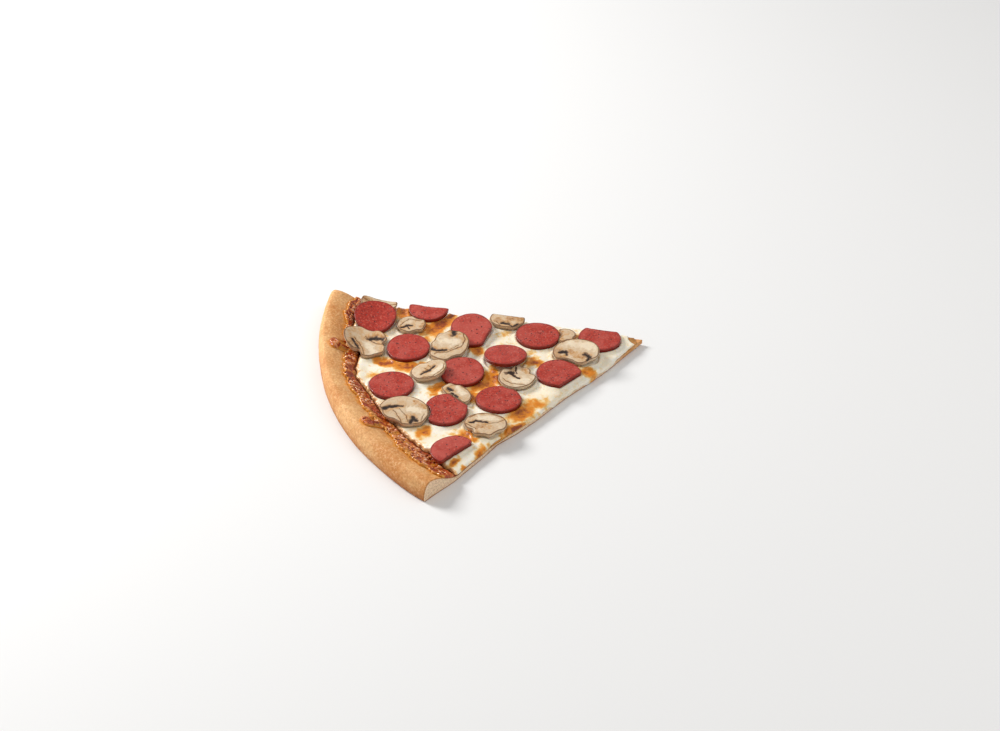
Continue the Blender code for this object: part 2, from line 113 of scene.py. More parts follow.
# Cheese
CHEESE_TIP = 9.0
CHEESE_EDGE = 187.5
CHEESE_EDGE_WAVE = 5.0
EDGE_WAVE_LENGTH = 34.0
CHEESE_THICKNESS = 2.5
CHEESE_THICKNESS_TIP = 1.0
CHEESE_FULL_AT = 90.0
CHEESE_LIP = 0.7
CHEESE_LUMP = 0.9
CHEESE_LUMP_LENGTH = 30.0
ROUNDING_RIM = 5.0
ROUNDING_NEAR_CUT = 9.0
ROUNDING_FAR_CUT = 4.0
ROUNDING_TIP = 8.0
MELT_ROUNDING = 2.2
MELT_BACK = 4.6
THINNEST_CHEESE = 0.25
RIDGE = 0.9
RIDGE_AT = 0.7
DIP = 0.35
PATCH_RAGGED = 2.6
PATCH_SPREAD = 1.25

SAUSAGES = tuple(f"sausage_{number:02d}" for number in range(1, 14))
MUSHROOMS = tuple(f"mushroom_{number:02d}" for number in range(1, 13))

# Browned patches of the cheese: place, half length, half width, turn in degrees, strength
BROWNED = (
    (-32.8, 77.0, 9.0, 5.5, 95.0, 0.85),
    (-40.0, 88.0, 5.0, 3.0, 150.0, 0.6),
    (-21.0, 51.0, 8.0, 6.5, 60.0, 0.78),
    (-13.0, 54.5, 9.0, 5.5, 30.0, 1.05),
    (-6.5, 61.0, 8.0, 4.0, 25.0, 0.95),
    (-60.0, 25.5, 8.0, 4.0, -42.0, 0.9),
    (-50.0, 16.5, 7.5, 4.2, -35.0, 1.0),
    (-40.5, 13.5, 4.5, 3.0, -10.0, 0.6),
    (-37.0, -12.0, 6.5, 4.0, 20.0, 0.78),
    (-41.5, -16.5, 3.5, 2.5, 0.0, 0.6),
    (-19.5, -28.0, 4.0, 6.5, 0.0, 0.72),
    (-9.5, -18.5, 8.5, 4.5, 10.0, 0.95),
    (-1.0, -13.5, 5.5, 5.5, 60.0, 0.9),
    (1.0, -6.5, 4.0, 5.0, 0.0, 0.7),
    (-1.5, 17.5, 3.4, 5.0, 30.0, 0.72),
    (28.8, -6.0, 5.4, 4.8, 0.0, 0.9),
    (30.5, 5.0, 4.0, 3.0, 0.0, 0.4),
    (58.0, -26.5, 6.5, 3.6, -50.0, 0.74),
    (56.0, 19.5, 5.0, 3.6, 0.0, 0.55),
    (67.0, 12.0, 4.0, 2.6, 0.0, 0.4),
    (4.0, -53.0, 9.5, 5.0, 20.0, 0.82),
    (14.0, -46.5, 7.5, 3.6, -20.0, 0.66),
    (-3.0, -66.5, 9.5, 3.2, 14.0, 1.25),
    (-59.5, -51.5, 4.6, 3.8, 40.0, 0.82),
    (-36.5, -64.0, 7.5, 2.8, -42.0, 0.85),
    (-50.5, -85.5, 4.0, 2.4, 40.0, 0.92),
    (-34.0, -81.5, 7.5, 2.8, 58.0, 0.8),
    (-20.5, -77.0, 4.0, 1.8, 25.0, 1.1),
    (-44.0, -91.0, 7.0, 1.8, 30.0, 0.6),
    (-56.0, 53.0, 5.0, 3.0, 40.0, 0.4),
    (-72.5, 14.0, 4.0, 3.0, 0.0, 0.4),
    (22.0, 30.0, 5.0, 3.0, 20.0, 0.35),
    (-28.0, 41.0, 4.0, 4.0, 20.0, 0.5),
)

# Marks on the mushroom slices: kind, half width, and the line of places that each follows
MUSHROOM_MARKS = {
    "mushroom_01": (
        ("line", 0.35, ((-56.0, 92.0), (-49.0, 85.5), (-36.0, 81.0))),
        ("stain", 3.0, ((-57.0, 92.0), (-52.0, 90.0))),
    ),
    "mushroom_02": (
        ("gill", 2.2, ((-63.8, 49.0), (-59.8, 48.6), (-56.6, 46.0))),
        ("gill", 1.0, ((-75.1, 48.6), (-75.0, 45.0), (-74.0, 40.6))),
        ("line", 0.4, ((-73.6, 51.0), (-71.5, 41.0), (-72.6, 31.0))),
        ("line", 0.45, ((-66.0, 52.0), (-62.0, 44.0), (-58.4, 40.5))),
        ("line", 0.4, ((-79.0, 44.5), (-77.5, 39.0), (-74.0, 35.0))),
        ("pale", 4.0, ((-67.0, 46.0), (-66.0, 33.0))),
        ("stain", 2.5, ((-78.0, 38.0), (-74.0, 33.0))),
    ),
    "mushroom_03": (
        ("gill", 1.3, ((-40.0, 55.2), (-36.8, 56.3), (-33.4, 55.2))),
        ("gill", 0.6, ((-36.8, 56.3), (-36.0, 52.6))),
        ("line", 0.4, ((-41.0, 58.0), (-33.0, 63.0), (-25.5, 58.0))),
        ("stain", 2.4, ((-28.0, 52.5), (-25.0, 54.0))),
    ),
    "mushroom_04": (
        ("gill", 1.7, ((23.0, 37.8), (26.4, 36.0))),
        ("gill", 0.8, ((26.4, 36.0), (27.9, 31.9), (32.6, 33.4))),
        ("line", 0.4, ((20.0, 40.5), (21.0, 34.0), (28.0, 30.6), (35.0, 33.0))),
        ("stain", 3.6, ((30.0, 42.0), (37.0, 37.5))),
        ("stain", 2.0, ((19.5, 41.0), (22.0, 43.0))),
    ),
    "mushroom_05": (
        ("gill", 2.1, ((-10.8, 36.0), (-12.2, 31.6))),
        ("gill", 1.3, ((-30.0, 25.6), (-27.5, 21.2), (-22.0, 19.4))),
        ("line", 0.45, ((-29.4, 19.4), (-21.2, 17.0), (-11.9, 18.4), (-7.4, 23.4), (-6.4, 30.0))),
        ("line", 0.3, ((-27.0, 20.6), (-20.0, 18.6), (-12.6, 20.0))),
        ("pale", 5.0, ((-22.0, 28.0), (-15.0, 25.0))),
    ),
    "mushroom_06": (
        ("gill", 0.9, ((-44.9, -0.2), (-40.1, 0.0), (-34.4, 3.2))),
        ("gill", 1.1, ((-42.6, 0.4), (-38.6, 0.4))),
        ("line", 0.3, ((-41.0, 4.0), (-39.4, 1.0))),
        ("line", 0.3, ((-38.0, 5.0), (-36.8, 2.0))),
        ("line", 0.4, ((-46.0, -3.4), (-39.0, -5.8), (-30.6, -2.4), (-28.4, 2.0))),
        ("pale", 3.0, ((-38.0, -3.2), (-31.0, -0.4))),
    ),
    "mushroom_07": (
        ("gill", 1.9, ((47.8, -5.2), (50.6, -7.0))),
        ("gill", 1.0, ((50.6, -7.0), (50.2, -9.6))),
        ("gill", 1.6, ((60.8, -14.2), (62.2, -18.0))),
        ("gill", 1.1, ((62.2, -18.0), (60.4, -20.0))),
        ("pale", 0.5, ((47.4, -7.4), (49.4, -8.0))),
        ("stain", 3.6, ((53.6, -9.0), (58.0, -15.0))),
        ("stain", 4.4, ((43.4, 1.0), (45.4, -9.0))),
        ("line", 0.4, ((52.0, 3.0), (58.0, 4.0), (66.0, 0.0), (71.0, -6.0))),
        ("pale", 5.0, ((56.0, -1.0), (68.0, -9.0))),
    ),
    "mushroom_08": (
        ("gill", 1.8, ((7.8, -15.4), (11.0, -15.8))),
        ("gill", 0.9, ((10.6, -14.4), (10.8, -20.4), (12.8, -23.2))),
        ("pale", 0.7, ((12.6, -19.4), (13.0, -21.8))),
        ("gill", 0.5, ((14.8, -11.4), (13.0, -18.0))),
        ("line", 0.4, ((3.0, -19.0), (6.0, -26.0), (14.0, -31.0))),
        ("stain", 3.0, ((19.0, -15.0), (20.4, -20.0))),
        ("pale", 3.0, ((9.0, -26.0), (16.0, -27.0))),
    ),
    "mushroom_09": (
        ("gill", 1.7, ((-77.0, -26.0), (-72.9, -25.0), (-68.6, -25.4))),
        ("gill", 0.7, ((-68.6, -25.4), (-65.0, -27.0))),
        ("gill", 1.5, ((-65.4, -43.6), (-62.2, -39.2), (-61.6, -42.4))),
        ("gill", 1.0, ((-69.6, -47.6), (-65.7, -46.4))),
        ("line", 0.4, ((-72.0, -29.0), (-70.4, -38.0), (-70.8, -45.6))),
        ("line", 0.3, ((-68.0, -28.0), (-66.0, -36.0), (-66.6, -42.0))),
        ("line", 0.45, ((-57.6, -46.4), (-53.0, -40.6), (-51.6, -34.6))),
        ("line", 0.3, ((-59.0, -44.0), (-55.0, -38.6))),
        ("stain", 2.2, ((-57.0, -26.0), (-52.8, -33.0))),
        ("pale", 3.0, ((-62.0, -31.0), (-58.0, -35.0))),
    ),
    "mushroom_10": (
        ("gill", 1.6, ((-32.6, -19.0), (-31.8, -21.6))),
        ("gill", 1.4, ((-32.2, -24.4), (-31.0, -29.0))),
        ("pale", 0.6, ((-32.4, -22.4), (-30.4, -25.0))),
        ("line", 0.4, ((-30.0, -16.0), (-25.0, -17.0), (-22.8, -23.0))),
        ("pale", 3.0, ((-27.6, -20.4), (-25.6, -27.0))),
    ),
    "mushroom_11": (
        ("gill", 1.1, ((-30.8, -56.8), (-27.4, -56.0), (-21.4, -60.6))),
        ("line", 0.4, ((-33.6, -56.0), (-32.0, -60.0), (-30.0, -63.0))),
        ("line", 0.35, ((-21.0, -61.6), (-16.0, -62.6), (-10.6, -61.6))),
        ("stain", 2.6, ((-27.4, -62.4), (-22.0, -65.0))),
        ("stain", 1.6, ((-30.0, -64.0), (-30.6, -68.0))),
        ("line", 0.4, ((-30.0, -51.6), (-24.0, -50.2), (-17.0, -52.4), (-9.6, -61.0))),
        ("pale", 3.0, ((-24.0, -54.0), (-15.0, -58.6))),
    ),
    "mushroom_12": (
        ("line", 0.4, ((50.0, 16.0), (57.0, 18.0))),
        ("stain", 2.4, ((53.0, 11.0), (56.0, 15.0))),
    ),
}

# Tone from 0, pale, to 1, stained, of the mushroom slices that aren't plain
PLAIN_TONE = 0.5
MUSHROOM_TONES = {
    "mushroom_01": 0.52,
    "mushroom_02": 0.66,
    "mushroom_04": 0.6,
    "mushroom_05": 0.58,
    "mushroom_08": 0.4,
    "mushroom_12": 0.6,
}

# Paleness of the sausage slices that aren't plain, on the palest partly a painted sheen, and the
# cracks in their faces
PLAIN_PALENESS = 0.15
SAUSAGE_PALENESS_AND_SHEEN = {
    "sausage_01": -0.25,
    "sausage_02": 0.3,
    "sausage_03": 0.55,
    "sausage_08": 0.35,
    "sausage_13": 0.5,
}
SAUSAGE_LINES = {
    "sausage_05": (
        ((41.0, 20.0), (44.4, 21.2)),
        ((42.0, 22.2), (43.4, 19.0)),
        ((41.4, 21.8), (44.2, 19.4)),
    ),
}

# Tones that the finishes blend in beside the colours that a user can set, linear
CRUST_SPECK = (0.92, 0.64, 0.35)
CRUST_GREASY = (0.72, 0.29, 0.04)
# Painted shade in the pores of the crumb
CRUMB_PORE_SHADE = (0.68, 0.47, 0.30)
SAUCE_DARK = (0.28, 0.028, 0.003)
# Painted shade in the hollows of the sauce's crinkles
SAUCE_HOLLOW_SHADE = (0.17, 0.014, 0.002)
# Painted highlight on the tops of the sauce's crinkles
SAUCE_PAINTED_HIGHLIGHT = (0.92, 0.56, 0.40)
SAUCE_GOLDEN = (0.66, 0.27, 0.035)
SAUCE_BY_CHEESE = (0.24, 0.06, 0.016)
CHEESE_WARM = (0.90, 0.66, 0.36)
CHEESE_LIGHT_GOLD = (0.86, 0.53, 0.16)
CHEESE_EDGE_GOLD = (0.74, 0.36, 0.09)
CHEESE_EDGE_BROWN = (0.30, 0.085, 0.022)
CHEESE_LOW = (0.52, 0.24, 0.075)
MEAT_DARK = (0.29, 0.018, 0.010)
MEAT_FAT = (0.62, 0.17, 0.12)
MEAT_PIT = (0.07, 0.006, 0.005)
MEAT_RIM = (0.20, 0.014, 0.008)
MEAT_SIDE_DARK = (0.17, 0.011, 0.006)
MEAT_SIDE = (0.30, 0.022, 0.011)
FLESH_PALE = (0.80, 0.66, 0.48)
FLESH_STAIN = (0.54, 0.27, 0.085)
FLESH_DARK_STAIN = (0.36, 0.15, 0.04)
FLESH_GRAIN = (0.42, 0.28, 0.16)
FLESH_VEIN = (0.74, 0.60, 0.43)
# Skin of the mushrooms, also used as painted shade low on their walls
MUSHROOM_SKIN = (0.17, 0.072, 0.024)
GILL_EDGE = (0.17, 0.095, 0.055)
FLOOR_COLOUR = (0.85, 0.842, 0.83)

# How far light spreads under the surface, for red, green and blue
BREAD_SCATTER = (1.0, 0.5, 0.25)
PALE_SCATTER = (1.0, 0.7, 0.4)
MEAT_SCATTER = (1.0, 0.25, 0.15)


class Shape(NamedTuple):
    """A topping's mesh: points round it, rings of its face, rounding and tuck of its edge."""

    count: int
    rings: int
    bevel: float
    tuck: float


SAUSAGE_SHAPE = Shape(120, 26, 0.45, 0.3)
MUSHROOM_SHAPE = Shape(200, 44, 0.5, 1.1)
OUTLINE_POINTS = 90

# Rows of points in the meshes, and how many of them one row of a plain underside spans
COARSE = 4
FLAT_ROWS = 36
SLOPE_ROWS = 64
FACE_ROWS = 37
TUCK_ROWS = 4
CUT_ROWS = 25
HIDDEN_ROWS = 22
JOIN_ROWS = 8
BAND_ROWS = 43
CHEESE_ROWS = 261
WALL_ROWS = 7
BEVEL_ROWS = 5
CURVE_POINTS = 24

# Points nearer than this, in metres, are one point
MERGE_DISTANCE = 1e-6

# How upright a solid's faces are on its walls and on its two faces
WALL_SLOPE = 0.5
FACE_SLOPE = 0.9

# Corners nearer than this, in radians round the middle, are the same corner of an outline
SAME_CORNER = 0.02

# Radii where the dough's flat base ends, and where the sauce under the cheese comes to its end
FLAT_END = 172.0
HIDDEN_FROM = 150.0
HIDDEN_END = 160.0

# Cheese down the near cut: share of the way down, and share of the swell that it stands out
DRAPE = (
    (0.04, 0.4),
    (0.12, 0.75),
    (0.25, 0.95),
    (0.4, 1.0),
    (0.55, 1.0),
    (0.7, 0.95),
    (0.83, 0.85),
    (0.92, 0.65),
    (0.98, 0.35),
    (1.0, 0.0),
    (0.6, -0.02),
)

# Lamps: name, place, size and share of the power
LAMPS = (
    ("key", (-0.75, 0.95, 0.8), 0.5, 1.0),
    ("fill", (0.7, -0.7, 0.9), 0.9, 0.15),
)

# How far the browned face of the rim lies inside its outline: part of the way, depth
RIM_INSETS = ((0.0, 0.0), (0.3, 0.1), (0.5, 1.2), (0.68, 1.8), (0.85, 0.8), (1.0, 0.0))


def mix(a, b, t):
    """From a at 0 to b at 1."""
    return a + (b - a) * t


def clip(values, low=0.0, high=1.0):
    return np.clip(values, low, high)


def smooth(values, start, end):
    """0 before start, 1 after end and a smooth step between."""
    t = clip((values - start) / (end - start))
    return t * t * (3.0 - 2.0 * t)


def wave(length, x, y, z=0.0):
    """Smooth noise from about -1 to 1 that changes over the given length."""
    x, y, z = np.broadcast_arrays(np.asarray(x, float), y, z)
    places = zip(x.ravel() / length, y.ravel() / length, z.ravel() / length)
    return np.array([noise.noise(Vector(place)) for place in places]).reshape(x.shape)


SLOPES = np.random.default_rng(7).normal(size=(256, 3))
SLOPES /= np.linalg.norm(SLOPES, axis=1, keepdims=True)
PRIMES = (73856093, 19349663, 83492791)


def slope_at(column, row, layer, shift):
    """One of the slopes for each cell, always the same one for the same cell."""
    key = (column * PRIMES[0]) ^ (row * PRIMES[1]) ^ (layer * PRIMES[2])
    return SLOPES[(key ^ (key >> shift)) & 255]


def grain(length, x, y, z=0.0):
    """Like wave, but quick, for the many points of fine forms. Another z is another pattern."""
    place = np.stack(np.broadcast_arrays(x, y, z), axis=-1) / length
    cell = np.floor(place).astype(np.int64)
    inside = place - cell
    ease = inside**3 * (inside * (inside * 6.0 - 15.0) + 10.0)
    total = np.zeros(place.shape[:-1])
    for corner in np.ndindex(2, 2, 2):
        at = cell + corner
        slope = slope_at(at[..., 0], at[..., 1], at[..., 2], 9)
        weight = np.prod(np.where(corner, ease, 1.0 - ease), axis=-1)
        total += weight * np.sum(slope * (inside - corner), axis=-1)
    return 1.6 * total


def ripples(length, x, y, z=0.0, octaves=3):
    """Waves of several lengths, each half as long and half as high as the one before."""
    total = 0.0
    for octave in range(octaves):
        total = total + grain(length / 2**octave, x, y, z + 7.3 * octave) / 2**octave
    return total


def bubbles(size, x, y, seed):
    """Domes set close together, about the given size apart, from 0 between them to 1."""
    across, up = x / size, y / size
    column, row = np.floor(across).astype(np.int64), np.floor(up).astype(np.int64)
    nearest = np.full(np.shape(across), 9.0)
    for i in (-1, 0, 1):
        for k in (-1, 0, 1):
            shift = slope_at(column + i, row + k, seed, 11)
            dx = column + i + 0.5 + 0.45 * shift[..., 0] - across
            dy = row + k + 0.5 + 0.45 * shift[..., 1] - up
            nearest = np.minimum(nearest, np.hypot(dx, dy) / (0.75 + 0.25 * shift[..., 2]))
    return np.sqrt(clip(1.0 - (nearest / 0.85) ** 2))


def to_line(x, y, line):
    """Distance from each place to a line through several places."""
    nearest = np.full(np.shape(x), 1e9)
    for (ax, ay), (bx, by) in zip(line, line[1:]):
        dx, dy = bx - ax, by - ay
        t = clip(((x - ax) * dx + (y - ay) * dy) / (dx * dx + dy * dy))
        nearest = np.minimum(nearest, np.hypot(x - ax - t * dx, y - ay - t * dy))
    return nearest


def outer_radius(part):
    """The rim's outline, at a part of the way from the near cut (0) to the far one (1)."""
    at = clip(part) * (len(RIM_RADII) - 1)
    first = np.minimum(at.astype(int), len(RIM_RADII) - 2)
    radii = np.array(RIM_RADII)
    ease = 0.5 - 0.5 * np.cos(np.pi * (at - first))
    return mix(radii[first], radii[first + 1], ease)


def rim_inset(part):
    """How far the rim's outer face lies inside the outline."""
    places, depths = zip(*RIM_INSETS)
    return np.interp(part, places, depths)


PARTS = np.linspace(0.0, 1.0, 401)
TIP_X = float((outer_radius(PARTS) * np.cos(mix(-HALF_ANGLE, HALF_ANGLE, PARTS))).max() / 2)
TIP_Y = (RIM_RADII[0] - RIM_RADII[-1]) * math.sin(HALF_ANGLE) / 2


def near_bulge(radius):
    """How far the near cut stands out from its straight line."""
    swell = 1.0 - np.exp(-radius / BULGES_FROM)
    bulges = sum(
        height * np.exp(-(((radius - place) / spread) ** 2))
        for place, spread, height in NEAR_BULGES
    )
    return swell * bulges


def fade(radius, length):
    """1 at the tip, falling to 0 at the given length."""
    return clip(1.0 - radius / length) ** 2


def polar(radius, part):
    """The place at a distance from the tip, a part of the way from the near cut to the far."""
    radius, part = np.broadcast_arrays(np.asarray(radius, float), part)
    start = -HALF_ANGLE - near_bulge(radius) / np.maximum(radius, 1.0)
    angle = mix(start, HALF_ANGLE, part)
    sway = TIP_SWAY * fade(radius, TIP_SWAY_LENGTH)
    return TIP_X - radius * np.cos(angle), TIP_Y - sway + radius * np.sin(angle)


def from_polar(x, y):
    """The radius and part of a place."""
    radius = np.hypot(TIP_X - x, y - TIP_Y)
    y = y + TIP_SWAY * fade(radius, TIP_SWAY_LENGTH)
    radius = np.hypot(TIP_X - x, y - TIP_Y)
    start = -HALF_ANGLE - near_bulge(radius) / np.maximum(radius, 1.0)
    return radius, (np.arctan2(y - TIP_Y, TIP_X - x) - start) / (HALF_ANGLE - start)


def ground(radius):
    """Height of the dough's underside, which curls up at the tip."""
    return TIP_CURL * fade(radius, TIP_CURL_LENGTH)


def dough_top(radius, part):
    """Height of the dough inside the rim's crest."""
    radius, part = np.broadcast_arrays(np.asarray(radius, float), part)
    slope = mix(RIM_SLOPE_NEAR, RIM_SLOPE_FAR, part)
    down = clip((outer_radius(part) - radius - RIM_FACE) / slope)
    rise = 0.5 + 0.5 * np.cos(np.pi * down)
    crest = mix(RIM_HEIGHT_NEAR, RIM_HEIGHT_FAR, part) - DOUGH_THICKNESS
    lump = RIM_LUMP * wave(RIM_LUMP_LENGTH, *polar(radius, part))
    return ground(radius) + DOUGH_THICKNESS + (crest + lump) * rise


def along_rim(part):
    """Distance along the edge of the sauce, from its middle."""
    return mix(-HALF_ANGLE, HALF_ANGLE, part) * SAUCE_EDGE


def cheese_edge(part):
    """Edge of the cheese's solid."""
    return CHEESE_EDGE + CHEESE_EDGE_WAVE * wave(EDGE_WAVE_LENGTH, along_rim(part), 9.0)


def melt_edge(part):
    """Edge of the melted cheese, uneven inside the edge of its solid."""
    at = along_rim(part)
    uneven = 1.3 + 1.2 * grain(9.0, at, 5.0) + 0.8 * grain(3.4, at, 11.0)
    wide = smooth(part, 0.05, 0.12) * (1.0 - smooth(part, 0.3, 0.42))
    return cheese_edge(part) - clip(uneven, 0.1, 4.0) - MELT_BACK * wide


def sauce_edge(at):
    """Outer edge of the sauce's solid, at a place along the rim."""
    return SAUCE_EDGE + SAUCE_EDGE_WAVE * wave(EDGE_WAVE_LENGTH, at, 40.0)


def band_edge(part):
    """Edge of the baked sauce on the rim, uneven, wider by the near cut than by the far one."""
    at = along_rim(part)
    uneven = 0.4 + 1.9 * grain(7.0, at, 3.0) + 1.0 * grain(2.4, at, 9.0)
    wider = BAND_WIDER * (1.0 - smooth(part, 0.05, 0.3))
    narrower = BAND_NARROWER * smooth(part, 0.6, 0.85)
    return sauce_edge(at) + uneven + wider - narrower


def drops(part):
    """The two drops of sauce: offset along the rim, and the centre's radius."""
    for degrees, reach in DROPS:
        turn = math.radians(degrees) * SAUCE_EDGE
        yield along_rim(part) - turn, float(sauce_edge(turn)) + reach - DROP_OUT


def band_reach(part):
    """Edge of the band with its drops."""
    edge = band_edge(part)
    for off, centre in drops(part):
        round_end = centre + DROP_OUT * np.sqrt(clip(1.0 - (off / DROP_ALONG) ** 2))
        edge = np.where(np.abs(off) < DROP_ALONG, np.maximum(edge, round_end), edge)
    return edge


def sauce_top(radius, part):
    """Top of the sauce's solid."""
    return dough_top(radius, part) + GAP + SAUCE_THICKNESS


def cheese_bottom(radius, part):
    """Underside of the cheese's solid."""
    return sauce_top(radius, part) + GAP


def bed(x, y):
    """Top of the cheese with no rounding at its edges, which the toppings lie on."""
    radius, part = from_polar(x, y)
    full = mix(CHEESE_THICKNESS_TIP, CHEESE_THICKNESS, clip(radius / CHEESE_FULL_AT))
    lump = CHEESE_LUMP * wave(CHEESE_LUMP_LENGTH, x, y, 5.0)
    return cheese_bottom(radius, part) + full + lump


def rounded(distance, reach):
    """0 at an edge, rising like a quarter circle to 1 at the given reach."""
    short = 1.0 - clip(distance / reach)
    return np.sqrt(1.0 - short * short)


def cheese_top(radius, part):
    """Top of the cheese's solid, rounded off at its edges."""
    bottom = cheese_bottom(radius, part)
    width = radius * 2 * HALF_ANGLE
    fullness = (
        rounded(cheese_edge(part) - radius, ROUNDING_RIM)
        * rounded(width * part, ROUNDING_NEAR_CUT)
        * rounded(width * (1.0 - part), ROUNDING_FAR_CUT)
        * rounded(radius - CHEESE_TIP, ROUNDING_TIP)
    )
    return bottom + mix(CHEESE_LIP, bed(*polar(radius, part)) - bottom, fullness)


class Builder:
    """Collects grids of points, in millimetres, into one mesh with values at its points."""

    def __init__(self):
        self.points = []
        self.faces = []
        self.marks = []
        self.count = 0

    def grid(self, points, marks, closed=False):
        """Adds a grid of (rows, columns, 3) points; a closed one joins its last column on."""
        rows, columns = points.shape[:2]
        index = self.count + np.arange(rows * columns).reshape(rows, columns)
        self.count += rows * columns
        self.points.append(points.reshape(-1, 3))
        self.marks.append(np.broadcast_to(marks, (rows, columns, 4)).reshape(-1, 4))
        if closed:
            index = np.concatenate([index, index[:, :1]], axis=1)
        corners = (index[:-1, :-1], index[:-1, 1:], index[1:, 1:], index[1:, :-1])
        self.faces.append(np.stack([corner.ravel() for corner in corners], axis=1))

    def finish(self, name, material, node):
        points = np.concatenate(self.points) * MM
        faces = np.concatenate(self.faces)
        mesh = bpy.data.meshes.new(name)
        mesh.vertices.add(len(points))
        mesh.vertices.foreach_set("co", points.astype(np.float32).ravel())
        mesh.loops.add(faces.size)
        mesh.loops.foreach_set("vertex_index", faces.astype(np.int32).ravel())
        mesh.polygons.add(len(faces))
        mesh.polygons.foreach_set("loop_start", np.arange(0, faces.size, 4, dtype=np.int32))
        mesh.update(calc_edges=True)
        mesh.validate()
        marks = mesh.attributes.new("marks", "FLOAT_COLOR", "POINT")
        marks.data.foreach_set("color", np.concatenate(self.marks).astype(np.float32).ravel())
        mesh.shade_smooth()
        mesh.materials.append(material)
        made = bpy.data.objects.new(name, mesh)
        bpy.context.scene.collection.objects.link(made)
        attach(made, "root")
        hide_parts(node)
        return made


def stack(x, y, z):
    """Points from their three coordinates."""
    x, y, z = np.broadcast_arrays(x, y, z)
    return np.stack([x, y, z], axis=-1)


def marks_of(*channels):
    """Values for the attribute that the finishes read."""
    shape = np.broadcast_shapes(*(np.shape(channel) for channel in channels))
    made = np.zeros((*shape, 4))
    for i, channel in enumerate(channels):
        made[..., i] = channel
    return made


class Look:
    """A material's nodes, made and joined by short calls."""

    def __init__(self, name):
        self.material = bpy.data.materials.new(name)
        self.material.use_nodes = True
        self.tree = self.material.node_tree
        self.shader = self.tree.nodes["Principled BSDF"]
        self.place = self.node("ShaderNodeTexCoord").outputs["Object"]
        marks = self.node("ShaderNodeAttribute", attribute_name="marks")
        self.split = self.node("ShaderNodeSeparateColor", Color=marks.outputs["Color"])
        self.marks = [self.split.outputs[i] for i in range(3)]

    def node(self, kind, **values):
        made = self.tree.nodes.new(kind)
        for key, value in values.items():
            if key in made.inputs:
                self.feed(made.inputs[key], value)
            else:
                setattr(made, key, value)
        return made

    def feed(self, socket, value):
        if isinstance(value, bpy.types.NodeSocket):
            self.tree.links.new(value, socket)
        else:
            socket.default_value = value

    def set(self, **values):
        """Sets or links the shader's own sockets, named with _ for each space."""
        for key, value in values.items():
            self.feed(self.shader.inputs[key.replace("_", " ")], value)

    def noise(self, size, detail=3.0, roughness=0.5, distortion=0.0):
        """Noise whose lumps are about the given size in millimetres, from 0 to 1."""
        made = self.node(
            "ShaderNodeTexNoise",
            Vector=self.place,
            Scale=1000.0 / size,
            Detail=detail,
            Roughness=roughness,
            Distortion=distortion,
        )
        return made.outputs["Fac"]

    def cells(self, size):
        """Distance from spots that are about the given size in millimetres apart."""
        made = self.node("ShaderNodeTexVoronoi", Vector=self.place, Scale=1000.0 / size)
        return made.outputs["Distance"]

    def range(self, value, low, high, first=0.0, last=1.0):
        """The value's range from low to high made first to last, smoothly."""
        made = self.node("ShaderNodeMapRange", interpolation_type="SMOOTHSTEP")
        for key, number in (("From Min", low), ("From Max", high)):
            made.inputs[key].default_value = number
        made.inputs["To Min"].default_value = first
        made.inputs["To Max"].default_value = last
        self.feed(made.inputs["Value"], value)
        return made.outputs["Result"]

    def math(self, operation, a, b=0.0):
        made = self.node("ShaderNodeMath", operation=operation)
        self.feed(made.inputs[0], a)
        self.feed(made.inputs[1], b)
        return made.outputs[0]

    def blend(self, factor, a, b, kind="MIX"):
        made = self.node("ShaderNodeMix", data_type="RGBA", blend_type=kind)
        self.feed(made.inputs["Factor"], factor)
        for socket, value in zip((made.inputs[6], made.inputs[7]), (a, b)):
            self.feed(socket, value if isinstance(value, bpy.types.NodeSocket) else colour(value))
        return made.outputs[2]

    def bump(self, height, distance, strength=1.0, normal=None):
        made = self.node("ShaderNodeBump", Height=height, Strength=strength)
        made.inputs["Distance"].default_value = distance * MM
        if normal is not None:
            self.feed(made.inputs["Normal"], normal)
        return made.outputs["Normal"]


def colour(value):
    return (*value[:3], 1.0)


